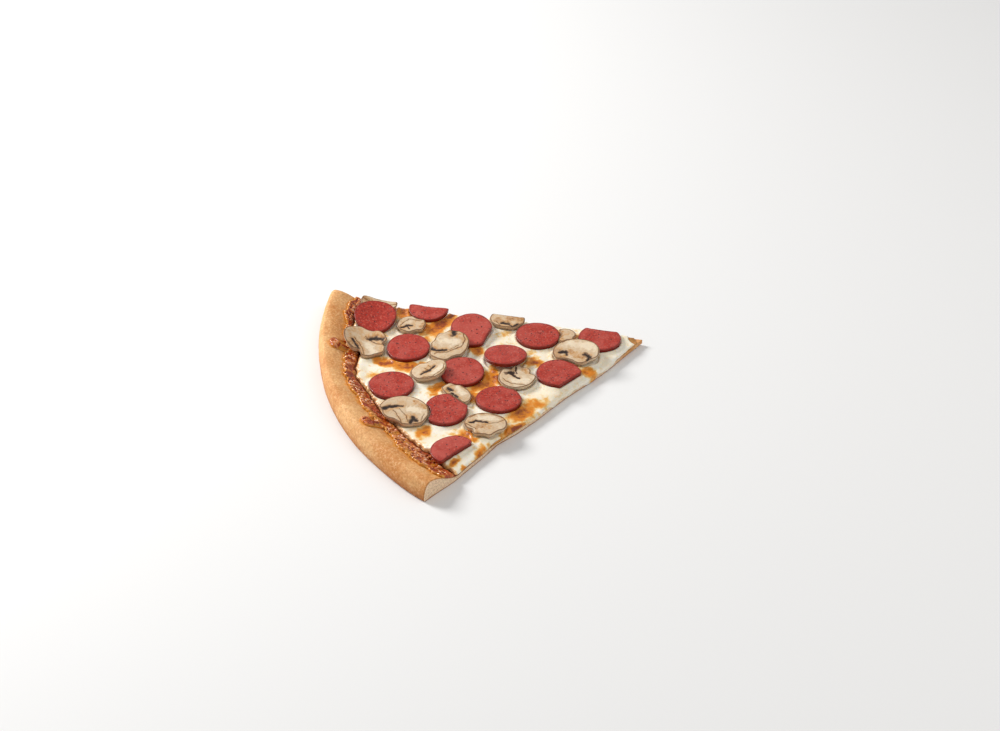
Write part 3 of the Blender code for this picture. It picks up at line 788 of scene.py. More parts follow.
class SliceColours(bpy.types.PropertyGroup):
    """Colours of the finishes, linear."""

    crust: FloatVectorProperty(
        name="Crust",
        description="Baked dough of the rim",
        subtype="COLOR",
        default=(0.62, 0.258, 0.072),
    )
    crust_pale: FloatVectorProperty(
        name="Pale crust",
        description="Less baked dough",
        subtype="COLOR",
        default=(0.78, 0.43, 0.175),
    )
    # Well baked dough, which low on the rim also stands for painted contact shade
    crust_brown: FloatVectorProperty(
        name="Brown crust",
        description="Well baked dough, low on the rim and under the slice",
        subtype="COLOR",
        default=(0.38, 0.125, 0.034),
    )
    crumb: FloatVectorProperty(
        name="Crumb",
        description="Inside of the dough, at the cuts",
        subtype="COLOR",
        default=(0.95, 0.70, 0.47),
    )
    sauce: FloatVectorProperty(
        name="Sauce",
        description="Baked tomato sauce and cheese at the rim",
        subtype="COLOR",
        default=(0.46, 0.062, 0.005),
    )
    # Lighter tops of the crinkles: cheese mixed in, and painted light on the tops
    sauce_light: FloatVectorProperty(
        name="Light sauce",
        description="Tops of the crinkles, where cheese is mixed in",
        subtype="COLOR",
        default=(0.72, 0.23, 0.035),
    )
    cheese: FloatVectorProperty(
        name="Cheese",
        description="Melted cheese",
        subtype="COLOR",
        default=(0.93, 0.81, 0.61),
    )
    cheese_white: FloatVectorProperty(
        name="White cheese",
        description="Thicker melted cheese",
        subtype="COLOR",
        default=(0.95, 0.885, 0.75),
    )
    cheese_gold: FloatVectorProperty(
        name="Golden cheese",
        description="Lightly browned cheese",
        subtype="COLOR",
        default=(0.72, 0.235, 0.015),
    )
    cheese_brown: FloatVectorProperty(
        name="Browned cheese",
        description="Cheese browned through",
        subtype="COLOR",
        default=(0.30, 0.055, 0.008),
    )
    sausage: FloatVectorProperty(
        name="Sausage",
        description="Cut face of the sausage slices",
        subtype="COLOR",
        default=(0.47, 0.036, 0.017),
    )
    sausage_pink: FloatVectorProperty(
        name="Pink sausage",
        description="Paler meat in the sausage slices",
        subtype="COLOR",
        default=(0.52, 0.095, 0.070),
    )
    mushroom: FloatVectorProperty(
        name="Mushroom",
        description="Cut face of the mushroom slices",
        subtype="COLOR",
        default=(0.60, 0.425, 0.26),
    )
    gills: FloatVectorProperty(
        name="Gills",
        description="Gills of the mushroom slices",
        subtype="COLOR",
        default=(0.03, 0.017, 0.012),
    )


class SliceSizes(bpy.types.PropertyGroup):
    """Sizes of the fine forms, in millimetres unless the name says otherwise."""

    crinkle: FloatProperty(
        name="Crinkle",
        description="Height of the crinkles of the sauce",
        default=1.4,
        min=0.0,
    )
    cheese_ripple: FloatProperty(
        name="Cheese ripple",
        description="Height of the small lumps of the cheese",
        default=0.4,
        min=0.0,
    )
    dough_columns: IntProperty(
        name="Dough columns",
        description="Columns of the dough's mesh from one cut to the other",
        default=240,
        min=20,
    )
    sauce_columns: IntProperty(
        name="Sauce columns",
        description="Columns of the sauce's mesh from one cut to the other",
        default=560,
        min=20,
    )
    cheese_columns: IntProperty(
        name="Cheese columns",
        description="Columns of the cheese's mesh from one cut to the other",
        default=300,
        min=20,
    )
    light: FloatProperty(
        name="Light",
        description="Power of the large lamp",
        default=22.0,
        min=0.0,
        unit="POWER",
    )
    sky: FloatProperty(
        name="Sky",
        description="Strength of the light from all around",
        default=0.47,
        min=0.0,
    )


def sizes():
    return bpy.context.scene.slice_sizes


def colours():
    return bpy.context.scene.slice_colours


def dough_look():
    """marks: 0.3 plain, up to 1 browned, which low on the rim is also painted contact shade, and
    down to 0 greasy; at a cut; on the underside.
    """
    look = Look("baked_dough")
    tones = colours()
    baked, cut, under = look.marks
    broad = look.noise(24.0, 3.0)
    fine = look.noise(2.4, 5.0, 0.65)
    speck = look.noise(1.5, 4.0, 0.75)
    skin = look.blend(look.range(broad, 0.36, 0.66), tones.crust, tones.crust_pale)
    skin = look.blend(look.range(fine, 0.45, 0.72, 0.0, 0.5), skin, tones.crust_pale)
    skin = look.blend(look.range(speck, 0.46, 0.66, 0.0, 0.44), skin, tones.crust_brown)
    skin = look.blend(look.range(speck, 0.48, 0.34, 0.0, 0.5), skin, CRUST_SPECK)
    amount = look.math("ADD", baked, look.range(fine, 0.3, 0.7, -0.12, 0.12))
    skin = look.blend(look.range(amount, 0.42, 1.05, 0.0, 0.9), skin, tones.crust_brown)
    greasy = look.math("ADD", baked, look.range(look.noise(3.0, 3.0), 0.3, 0.7, -0.1, 0.1))
    skin = look.blend(look.range(greasy, 0.24, 0.0, 0.0, 0.85), skin, CRUST_GREASY)
    pores = look.noise(1.1, 4.0, 0.7)
    # Painted shade: darker in the pores, which the bump sinks
    crumb = look.blend(look.range(pores, 0.34, 0.6), CRUMB_PORE_SHADE, tones.crumb)
    crumb = look.blend(look.range(baked, 0.45, 0.95), crumb, tones.crust_brown)
    sole = look.blend(look.range(fine, 0.35, 0.65), tones.crust_brown, tones.crust)
    skin = look.blend(cut, skin, crumb)
    skin = look.blend(under, skin, sole)
    look.set(Base_Color=skin, Roughness=look.range(fine, 0.3, 0.7, 0.58, 0.78))
    look.set(Subsurface_Weight=0.08, Subsurface_Scale=0.004)
    look.set(Subsurface_Radius=BREAD_SCATTER)
    look.set(Specular_IOR_Level=0.25)
    rough = look.bump(look.noise(1.3, 4.0, 0.7), 0.3)
    rough = look.bump(look.math("MULTIPLY", pores, cut), 0.35, 1.0, rough)
    look.set(Normal=rough)
    return look.material


def sauce_look():
    """marks: height in the crinkles, nearness to the cheese, golden at the crust and the tip."""
    look = Look("baked_sauce")
    tones = colours()
    high, inner, outer = look.marks
    blots = look.noise(5.0, 4.0, 0.6)
    base = look.blend(look.range(blots, 0.36, 0.64), SAUCE_DARK, tones.sauce)
    # Lighter towards the tops of the crinkles: cheese mixed in, and painted light
    base = look.blend(look.range(high, 0.4, 0.85, 0.0, 0.9), base, tones.sauce_light)
    # Painted shade: darker in the hollows between the crinkles
    base = look.blend(look.range(high, 0.25, 0.0, 0.0, 0.7), base, SAUCE_HOLLOW_SHADE)
    # Painted highlight: pale on the highest tops of the crinkles
    pale = look.math("MULTIPLY", look.range(high, 0.78, 0.97), look.range(blots, 0.42, 0.56, 0.25))
    base = look.blend(pale, base, SAUCE_PAINTED_HIGHLIGHT)
    edge = look.math("ADD", outer, look.range(blots, 0.35, 0.65, -0.22, 0.22))
    base = look.blend(look.range(edge, 0.25, 0.9), base, SAUCE_GOLDEN)
    base = look.blend(look.range(inner, 0.5, 1.0, 0.0, 0.5), base, SAUCE_BY_CHEESE)
    look.set(Base_Color=base, Roughness=look.range(blots, 0.3, 0.7, 0.14, 0.3))
    look.set(Specular_IOR_Level=0.35)
    look.set(Subsurface_Weight=0.12, Subsurface_Scale=0.002)
    look.set(Coat_Weight=0.3)
    look.set(Coat_Roughness=0.06)
    look.set(Normal=look.bump(look.noise(1.4, 4.0, 0.65), 0.4))
    return look.material


def cheese_look():
    """marks: browning, nearness to the rim's edge, low on the cut."""
    look = Look("melted_cheese")
    tones = colours()
    brown, edge, low = look.marks
    fine = look.noise(2.2, 5.0, 0.62)
    broad = look.noise(10.0, 4.0)
    cream = look.blend(look.range(broad, 0.38, 0.62), tones.cheese, tones.cheese_white)
    cream = look.blend(look.range(fine, 0.5, 0.72, 0.0, 0.4), cream, tones.cheese_white)
    warm = look.range(look.noise(15.0, 3.0, 0.6), 0.52, 0.72, 0.0, 0.42)
    cream = look.blend(warm, cream, CHEESE_WARM)
    mottle = look.range(look.noise(5.0, 3.0, 0.55), 0.3, 0.7, -0.14, 0.14)
    amount = look.math("ADD", brown, look.range(fine, 0.3, 0.7, -0.09, 0.09))
    amount = look.math("ADD", amount, mottle)
    gold = look.blend(look.range(amount, -0.02, 0.34, 0.0, 0.95), cream, CHEESE_LIGHT_GOLD)
    gold = look.blend(look.range(amount, 0.22, 0.56), gold, tones.cheese_gold)
    gold = look.blend(look.range(amount, 0.62, 1.02), gold, tones.cheese_brown)
    ragged = look.math("ADD", edge, look.range(look.noise(4.0, 4.0, 0.6), 0.3, 0.7, -0.4, 0.2))
    gold = look.blend(look.range(ragged, 0.3, 0.6, 0.0, 0.8), gold, CHEESE_EDGE_GOLD)
    gold = look.blend(look.range(ragged, 0.72, 0.98, 0.0, 0.85), gold, CHEESE_EDGE_BROWN)
    gold = look.blend(look.range(low, 0.45, 1.0, 0.0, 0.8), gold, CHEESE_LOW)
    look.set(Base_Color=gold, Roughness=look.range(fine, 0.3, 0.7, 0.24, 0.42))
    look.set(Subsurface_Weight=0.15, Subsurface_Scale=0.003)
    look.set(Subsurface_Radius=PALE_SCATTER)
    look.set(Specular_IOR_Level=0.3)
    look.set(Coat_Weight=0.18)
    look.set(Coat_Roughness=0.14)
    rough = look.bump(look.noise(3.4, 3.0, 0.5), 0.3)
    rough = look.bump(look.math("MULTIPLY", look.noise(0.9, 3.0, 0.6), brown), 0.3, 1.0, rough)
    look.set(Normal=rough)
    return look.material


def sausage_look():
    """marks: nearness to the rim of the cut face, on the side wall, paleness, which is partly
    painted sheen.
    """
    look = Look("sausage")
    tones = colours()
    rim, side, pale = look.marks
    fine = look.noise(1.4, 4.0, 0.7)
    broad = look.noise(9.0, 3.0)
    meat = look.blend(look.range(fine, 0.36, 0.64), MEAT_DARK, tones.sausage)
    # Paler pink by the piece's paleness, which on some slices is painted sheen
    amount = look.math("ADD", pale, look.range(broad, 0.35, 0.65, -0.1, 0.45))
    meat = look.blend(look.range(amount, 0.0, 1.0, 0.0, 0.75), meat, tones.sausage_pink)
    fat = look.range(look.noise(1.2, 3.0, 0.6), 0.54, 0.68, 0.0, 0.6)
    meat = look.blend(fat, meat, MEAT_FAT)
    pits = look.range(look.cells(3.0), 0.11, 0.22, 0.9, 0.0)
    meat = look.blend(pits, meat, MEAT_PIT)
    meat = look.blend(look.range(rim, 0.2, 1.0, 0.0, 0.6), meat, MEAT_RIM)
    meat = look.blend(side, meat, look.blend(fine, MEAT_SIDE_DARK, MEAT_SIDE))
    look.set(Base_Color=meat, Roughness=look.range(fine, 0.3, 0.7, 0.3, 0.46))
    look.set(Subsurface_Weight=0.1, Subsurface_Scale=0.002)
    look.set(Subsurface_Radius=MEAT_SCATTER)
    look.set(Specular_IOR_Level=0.32)
    look.set(Coat_Weight=0.1)
    look.set(Coat_Roughness=0.25)
    rough = look.bump(fine, 0.14)
    rough = look.bump(pits, -0.25, 1.0, rough)
    look.set(Normal=rough)
    return look.material


def mushroom_look():
    """marks: gills, skin and thin lines with painted shade low on the wall, tone from 0 pale
    through 0.5 plain to 1 stained.
    """
    look = Look("mushroom")
    tones = colours()
    gill, skin, tone = look.marks
    fine = look.noise(1.5, 4.0, 0.6)
    broad = look.noise(7.0, 3.0)
    grainy = look.range(fine, 0.3, 0.7, -0.1, 0.1)
    shade = look.math("ADD", tone, look.range(broad, 0.35, 0.65, -0.14, 0.14))
    flesh = look.blend(look.range(shade, 0.5, 0.15), tones.mushroom, FLESH_PALE)
    flesh = look.blend(look.range(shade, 0.52, 0.85, 0.0, 0.9), flesh, FLESH_STAIN)
    flesh = look.blend(look.range(shade, 0.8, 1.05, 0.0, 0.85), flesh, FLESH_DARK_STAIN)
    flesh = look.blend(look.range(fine, 0.5, 0.72, 0.0, 0.4), flesh, FLESH_GRAIN)
    veins = look.noise(2.6, 3.0, 0.6, 1.5)
    flesh = look.blend(look.range(veins, 0.44, 0.5, 0.0, 0.3), flesh, FLESH_VEIN)
    edge = look.math("ADD", skin, grainy)
    flesh = look.blend(look.range(edge, 0.25, 0.75, 0.0, 0.88), flesh, MUSHROOM_SKIN)
    dark = look.math("ADD", gill, grainy)
    flesh = look.blend(look.range(dark, 0.1, 0.55, 0.0, 0.9), flesh, GILL_EDGE)
    flesh = look.blend(look.range(dark, 0.55, 0.95), flesh, tones.gills)
    look.set(Base_Color=flesh, Roughness=look.range(fine, 0.3, 0.7, 0.38, 0.56))
    look.set(Subsurface_Weight=0.15, Subsurface_Scale=0.003)
    look.set(Subsurface_Radius=PALE_SCATTER)
    look.set(Specular_IOR_Level=0.25)
    look.set(Normal=look.bump(fine, 0.14))
    return look.material


def smooth_loop(corners, count):
    """A closed smooth curve through the corners, as evenly spaced points."""
    fine = []
    size = len(corners)
    for i in range(size):
        p = [corners[(i + k) % size] for k in (-1, 0, 1, 2)]
        lengths = [max(np.linalg.norm(b - a), 1e-6) ** 0.5 for a, b in zip(p, p[1:])]
        t1 = lengths[0]
        t2 = t1 + lengths[1]
        t3 = t2 + lengths[2]
        t = np.linspace(t1, t2, CURVE_POINTS, endpoint=False)[:, None]
        a1 = p[0] * (t1 - t) / t1 + p[1] * t / t1
        a2 = p[1] * (t2 - t) / (t2 - t1) + p[2] * (t - t1) / (t2 - t1)
        a3 = p[2] * (t3 - t) / (t3 - t2) + p[3] * (t - t2) / (t3 - t2)
        b1 = a1 * (t2 - t) / t2 + a2 * t / t2
        b2 = a2 * (t3 - t) / (t3 - t1) + a3 * (t - t1) / (t3 - t1)
        fine.append(b1 * (t2 - t) / (t2 - t1) + b2 * (t - t1) / (t2 - t1))
    fine = np.concatenate(fine)
    loop = np.concatenate([fine, fine[:1]])
    lengths = np.concatenate([[0.0], np.cumsum(np.linalg.norm(np.diff(loop, axis=0), axis=1))])
    at = np.linspace(0.0, lengths[-1], count, endpoint=False)
    return np.stack([np.interp(at, lengths, loop[:, k]) for k in (0, 1)], axis=1)


class Topping:
    """A topping's solid: its outline, and smooth surfaces through its two faces."""

    def __init__(self, node, count):
        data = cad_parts[node].data
        points = np.array([vertex.co[:] for vertex in data.vertices]) / MM
        walls = set()
        area = middle = 0.0
        faces = {True: set(), False: set()}
        for face in data.polygons:
            if abs(face.normal.z) < WALL_SLOPE:
                walls.update(face.vertices)
            elif abs(face.normal.z) > FACE_SLOPE:
                faces[face.normal.z > 0.0].update(face.vertices)
                middle = middle + face.area * np.array(face.center[:2]) / MM
                area += face.area
        self.middle = middle / area
        self.outline = smooth_loop(self.corners(points[sorted(walls), :2]), count)
        self.upper = self.fit(points[sorted(faces[True])])
        self.lower = self.fit(points[sorted(faces[False])])

    def corners(self, wall):
        """The wall's places in order, with the outer one of any that share a direction."""
        offset = wall - self.middle
        angle = np.arctan2(offset[:, 1], offset[:, 0])
        radius = np.hypot(offset[:, 0], offset[:, 1])
        kept = []
        for i in np.argsort(angle):
            if not kept or angle[i] - angle[kept[-1]] >= SAME_CORNER:
                kept.append(i)
            elif radius[i] > radius[kept[-1]]:
                kept[-1] = i
        return wall[kept]

    def outside(self, x, y):
        """How far places are outside the outline, below 0 inside it."""
        offset = self.outline - self.middle
        angle = np.arctan2(offset[:, 1], offset[:, 0])
        order = np.argsort(angle)
        radius = np.hypot(offset[:, 0], offset[:, 1])[order]
        at = np.arctan2(y - self.middle[1], x - self.middle[0])
        reach = np.interp(at, angle[order], radius, period=2 * np.pi)
        return np.hypot(x - self.middle[0], y - self.middle[1]) - reach

    def terms(self, x, y):
        u, v = (x - self.middle[0]) / 10.0, (y - self.middle[1]) / 10.0
        return np.stack([np.ones_like(u), u, v, u * u, u * v, v * v], axis=-1)

    def fit(self, points):
        terms = self.terms(points[:, 0], points[:, 1])
        return np.linalg.lstsq(terms, points[:, 2], rcond=None)[0]

    def height(self, surface, x, y):
        return self.terms(x, y) @ surface

    def inset(self, distance):
        """The outline moved in towards the middle by a distance."""
        offset = self.outline - self.middle
        radius = np.linalg.norm(offset, axis=1, keepdims=True)
        return self.middle + offset * (1.0 - distance / radius)


def build_topping(node, name, material, shape, relief, mark_face, mark_wall):
    """A thin piece with a detailed upper face, a rounded edge, a wall and a plain underside."""
    piece = Topping(node, shape.count)
    built = Builder()
    shares = np.linspace(0.0, 1.0, shape.rings) ** 0.85
    rim = piece.inset(shape.bevel)
    plan = piece.middle + shares[:, None, None] * (rim - piece.middle)
    x, y = plan[..., 0], plan[..., 1]
    gap = np.linalg.norm(rim - plan, axis=2)
    height = piece.height(piece.upper, x, y) + relief(x, y, gap)
    built.grid(stack(x, y, height), mark_face(x, y, gap), True)
    top_edge = height[-1]
    rows = []
    for angle in np.linspace(0.0, np.pi / 2, BEVEL_ROWS):
        ring = piece.inset(shape.bevel * (1.0 - math.sin(angle)))
        down = shape.bevel * (1.0 - math.cos(angle))
        rows.append(stack(ring[:, 0], ring[:, 1], top_edge - down))
    outer = piece.inset(shape.tuck)
    foot = piece.height(piece.lower, outer[:, 0], outer[:, 1])
    for share in np.linspace(0.0, 1.0, WALL_ROWS)[1:]:
        ring = piece.inset(shape.tuck * math.sin(math.pi / 2.0 * share))
        rows.append(stack(ring[:, 0], ring[:, 1], mix(top_edge - shape.bevel, foot, share)))
    wall = np.stack(rows)
    built.grid(wall, mark_wall(wall), True)
    inner = piece.middle + np.linspace(1.0, 0.0, 5)[:, None, None] * (outer - piece.middle)
    x, y = inner[..., 0], inner[..., 1]
    under = stack(x, y, piece.height(piece.lower, x, y))
    built.grid(under, marks_of(0.0, 0.4, 0.5), True)
    return built.finish(name, material, node)


def no_doubles(obj):
    """Merges the points that lie on each other, as at the middle of a fan."""
    data = bmesh.new()
    data.from_mesh(obj.data)
    bmesh.ops.remove_doubles(data, verts=data.verts[:], dist=MERGE_DISTANCE)
    bmesh.ops.recalc_face_normals(data, faces=data.faces[:])
    data.to_mesh(obj.data)
    data.free()


class SLICE_OT_dough(bpy.types.Operator):
    """Builds the dough: base, raised rim, two cuts and underside"""

    bl_idname = "slice.dough"
    bl_label = "Dough"

    def execute(self, context):
        parts = np.linspace(0.0, 1.0, sizes().dough_columns + 1)[:, None]
        outer = outer_radius(parts)
        reach = outer - rim_inset(parts)
        base = np.concatenate([np.arange(0.0, 30.0, 1.5), np.linspace(30.0, FLAT_END, FLAT_ROWS)])
        start = RIM_FACE + max(RIM_SLOPE_NEAR, RIM_SLOPE_FAR)
        slope = outer - np.linspace(start, RIM_FACE, SLOPE_ROWS)
        radius = np.concatenate([np.repeat(base[None], len(parts), 0), slope], axis=1)
        height = dough_top(radius, parts)
        crest = height[:, -1:]
        turn = np.radians(np.linspace(90.0, 0.0, FACE_ROWS + 1)[1:])
        face = mix(outer - RIM_FACE, reach, np.cos(turn))
        face_height = mix(RIM_UNDERCUT_HEIGHT, crest, np.sin(turn))
        tuck = np.linspace(0.0, 1.0, TUCK_ROWS + 1)[1:]
        under = reach - RIM_UNDERCUT * tuck
        under_height = RIM_UNDERCUT_HEIGHT * (1.0 - tuck) * np.ones_like(outer)
        down = np.zeros(radius.shape[1])
        down = np.concatenate([down, 1.0 - np.sin(turn), np.full(len(tuck), 1.2)])
        radius = np.concatenate([radius, face, under], axis=1)
        height = np.concatenate([height, face_height, under_height], axis=1)
        x, y = polar(radius, parts)
        fine = RIM_GRAIN * ripples(7.0, x, y, height)
        fine = fine + RIM_FINE_GRAIN * grain(1.6, x, y, height)
        on_rim = smooth(radius, 178.0, 190.0) * (1.0 - smooth(down, 0.7, 1.0))
        inner_cut = smooth(np.minimum(parts, 1.0 - parts), 0.0, 0.004)
        height = height + fine * on_rim
        dent = RIM_DENT * clip(ripples(9.0, x, y, height, 2) + 0.4) * smooth(down, 0.1, 0.5)
        radius = radius - dent * (down < 1.1) * inner_cut
        reached = band_reach(parts)
        spread = 1.6 + 3.4 * clip(0.5 + grain(11.0, along_rim(parts), 50.0))
        greasy = 1.0 - smooth(radius, reached - 0.5, reached + spread)
        greasy = greasy * smooth(radius, 150.0, 170.0)
        tip = 1.0 - smooth(radius, 10.0, 24.0)
        far = 0.16 * smooth(parts, 0.66, 0.95) * smooth(radius, 196.0, 205.0)
        # Browner low on the rim's face and undercut: browned crust, and painted contact shade by
        # the ground
        baked = 0.3 + 0.5 * clip(down) ** 2.2 + 0.16 * tip + far - 0.3 * greasy
        baked = baked + 0.12 * (1.0 - parts) * smooth(down, 0.2, 0.8)
        built = Builder()
        built.grid(stack(*polar(radius, parts), height), marks_of(baked))
        step = slice(None, None, COARSE)
        sole = np.minimum(radius[:, step], (reach - RIM_UNDERCUT))
        sole[:, -1] = radius[:, -1]
        sole_marks = marks_of(0.3, 0.0, smooth(reach - sole, 1.0, 3.0))
        built.grid(stack(*polar(sole, parts), ground(sole)), sole_marks)
        for side in (0, -1):
            self.cut(built, radius[side], height[side], parts[side, 0], sole[side])
        made = built.finish("dough_loaf", dough_look(), "dough")
        no_doubles(made)
        return {"FINISHED"}

    @staticmethod
    def cut(built, radius, height, part, sole):
        """The crumb wall of one cut."""
        nearest = np.round(np.arange(len(radius)) / COARSE).astype(int)
        nearest = np.minimum(nearest, len(sole) - 1)
        foot = sole[nearest]
        share = np.linspace(0.0, 1.0, CUT_ROWS)[:, None]
        across = mix(foot, radius, share)
        up = mix(ground(foot), height, share)
        inside = smooth(share, 0.0, 0.1) * (1.0 - smooth(share, 0.9, 1.0))
        inside = inside * smooth(across, 20.0, 40.0)
        pits = 0.16 * (1.0 - bubbles(2.2, across, up * 1.4, 3)) + 0.18 * ripples(5.0, across, up)
        depth = inside * np.maximum(pits, 0.0)
        into = depth / (2.0 * HALF_ANGLE * np.maximum(across, 8.0))
        x, y = polar(across, part + into * (1.0 - 2.0 * part))
        # Brown line at the top and foot of the cut: browned crust, and at the foot painted contact
        # shade
        line = np.maximum(1.0 - up / 1.3, 0.6 - (height - up) / 0.9)
        built.grid(stack(x, y, up), marks_of(0.3 + 0.7 * clip(line), inside**0.3))


class SLICE_OT_sauce(bpy.types.Operator):
    """Builds the sauce: a thin layer that shows as a crinkled band at the rim"""

    bl_idname = "slice.sauce"
    bl_label = "Sauce"

    def execute(self, context):
        parts = np.linspace(0.0, 1.0, sizes().sauce_columns + 1)[:, None]
        inner = melt_edge(parts) + BAND_GAP
        plain = band_edge(parts)
        outer = band_reach(parts)
        slope = np.gradient(plain[:, 0], along_rim(parts)[:, 0])[:, None]
        under = np.linspace(SAUCE_TIP, HIDDEN_END, HIDDEN_ROWS)[None]
        hidden = inner - np.linspace(20.0, 0.5, JOIN_ROWS)[None]
        across = np.linspace(0.0, 1.0, BAND_ROWS)[None] ** 0.9
        band = mix(inner, outer, across)
        radius = np.concatenate([np.repeat(under, len(parts), 0), hidden, band], axis=1)
        over = np.concatenate([np.zeros((1, HIDDEN_ROWS + JOIN_ROWS)), across], axis=1)
        x, y = polar(radius, parts)
        steep = np.sqrt(1.0 + slope**2)
        inside = (plain - radius) / steep
        dropped = np.full(inside.shape, -9.0)
        for off, centre in drops(parts):
            away = np.hypot(off / DROP_ALONG, (radius - centre) / DROP_OUT)
            dropped = np.maximum(dropped, DROP_OUT * (1.0 - away))
            neck = DROP_NECK - np.abs(off)
            dropped = np.maximum(dropped, np.where(radius < centre, neck, -9.0))
        inside = np.maximum(inside, dropped)
        rise = rounded(inside, BAND_ROUNDING_OUT)
        arch = rounded(radius - inner, BAND_ROUNDING_IN) * rise
        worms = clip(1.0 - 2.2 * np.abs(ripples(WORM_SIZE, x, y, 3.0, 2)))
        bent_x, bent_y = x + 0.9 * grain(3.4, x, y), y + 0.9 * grain(3.4, y, x)
        blisters = bubbles(BLISTER_SIZE, bent_x, bent_y, 5) * clip(0.85 + grain(6.0, x, y, 4.0))
        crinkle = np.maximum(0.6 * worms, blisters)
        raised = arch * (BAND_RISE + sizes().crinkle * crinkle)
        sunk = SAUCE_SINK * smooth(inside, 0.0, -0.7)
        bottom = dough_top(radius, parts) + SAUCE_LIFT - sunk
        top = mix(bottom + SAUCE_FILM, sauce_top(radius, parts), rise) + raised
        ones = np.ones_like(crinkle)
        near_cheese = (1.0 - smooth(radius - inner, 0.2, 1.3)) * ones
        near_cheese = near_cheese * smooth(radius, HIDDEN_FROM, HIDDEN_END)
        golden = (1.0 - smooth(inside, 0.1, 2.2)) * (1.0 - 0.85 * smooth(dropped, 0.0, 0.5))
        golden = np.maximum(golden, 1.0 - smooth(radius, 140.0, 160.0))
        away = np.hypot(x - GOLDEN_PLACE[0], y - GOLDEN_PLACE[1])
        mixed = np.exp(-((away / GOLDEN_SPREAD) ** 2))
        golden = np.maximum(golden, 0.8 * mixed)
        patchy = 0.75 * smooth(grain(9.0, x, y, 60.0), 0.22, 0.6)
        patchy = patchy * smooth(radius, HIDDEN_FROM, HIDDEN_END)
        golden = np.maximum(golden, patchy * (1.0 - smooth(dropped, -1.0, 0.3)))
        marks = marks_of(crinkle * (over > 0.0), near_cheese, golden)
        built = Builder()
        closed_layer(built, stack(x, y, top), stack(x, y, bottom), marks)
        made = built.finish("sauce_layer", sauce_look(), "sauce")
        no_doubles(made)
        return {"FINISHED"}


def closed_layer(built, top, bottom, marks, first_rows=None):
    """Joins a fine upper grid to a coarse lower one by a wall on each of the four sides."""
    rows, columns = top.shape[:2]
    near_row = np.round(np.arange(rows) / COARSE).astype(int) * COARSE
    near_column = np.round(np.arange(columns) / COARSE).astype(int) * COARSE
    built.grid(top, marks)
    built.grid(bottom[::COARSE, ::COARSE], marks[::COARSE, ::COARSE])
    for column in (0, -1):
        wall = np.stack([top[:, column], bottom[near_row, column]])
        built.grid(wall, np.stack([marks[:, column]] * 2))
    for row in (0, -1):
        between = first_rows if row == 0 and first_rows is not None else ((), ())
        wall = np.stack([top[row], *between[0], bottom[row, near_column]])
        built.grid(wall, np.stack([marks[row], *between[1], marks[row]]))


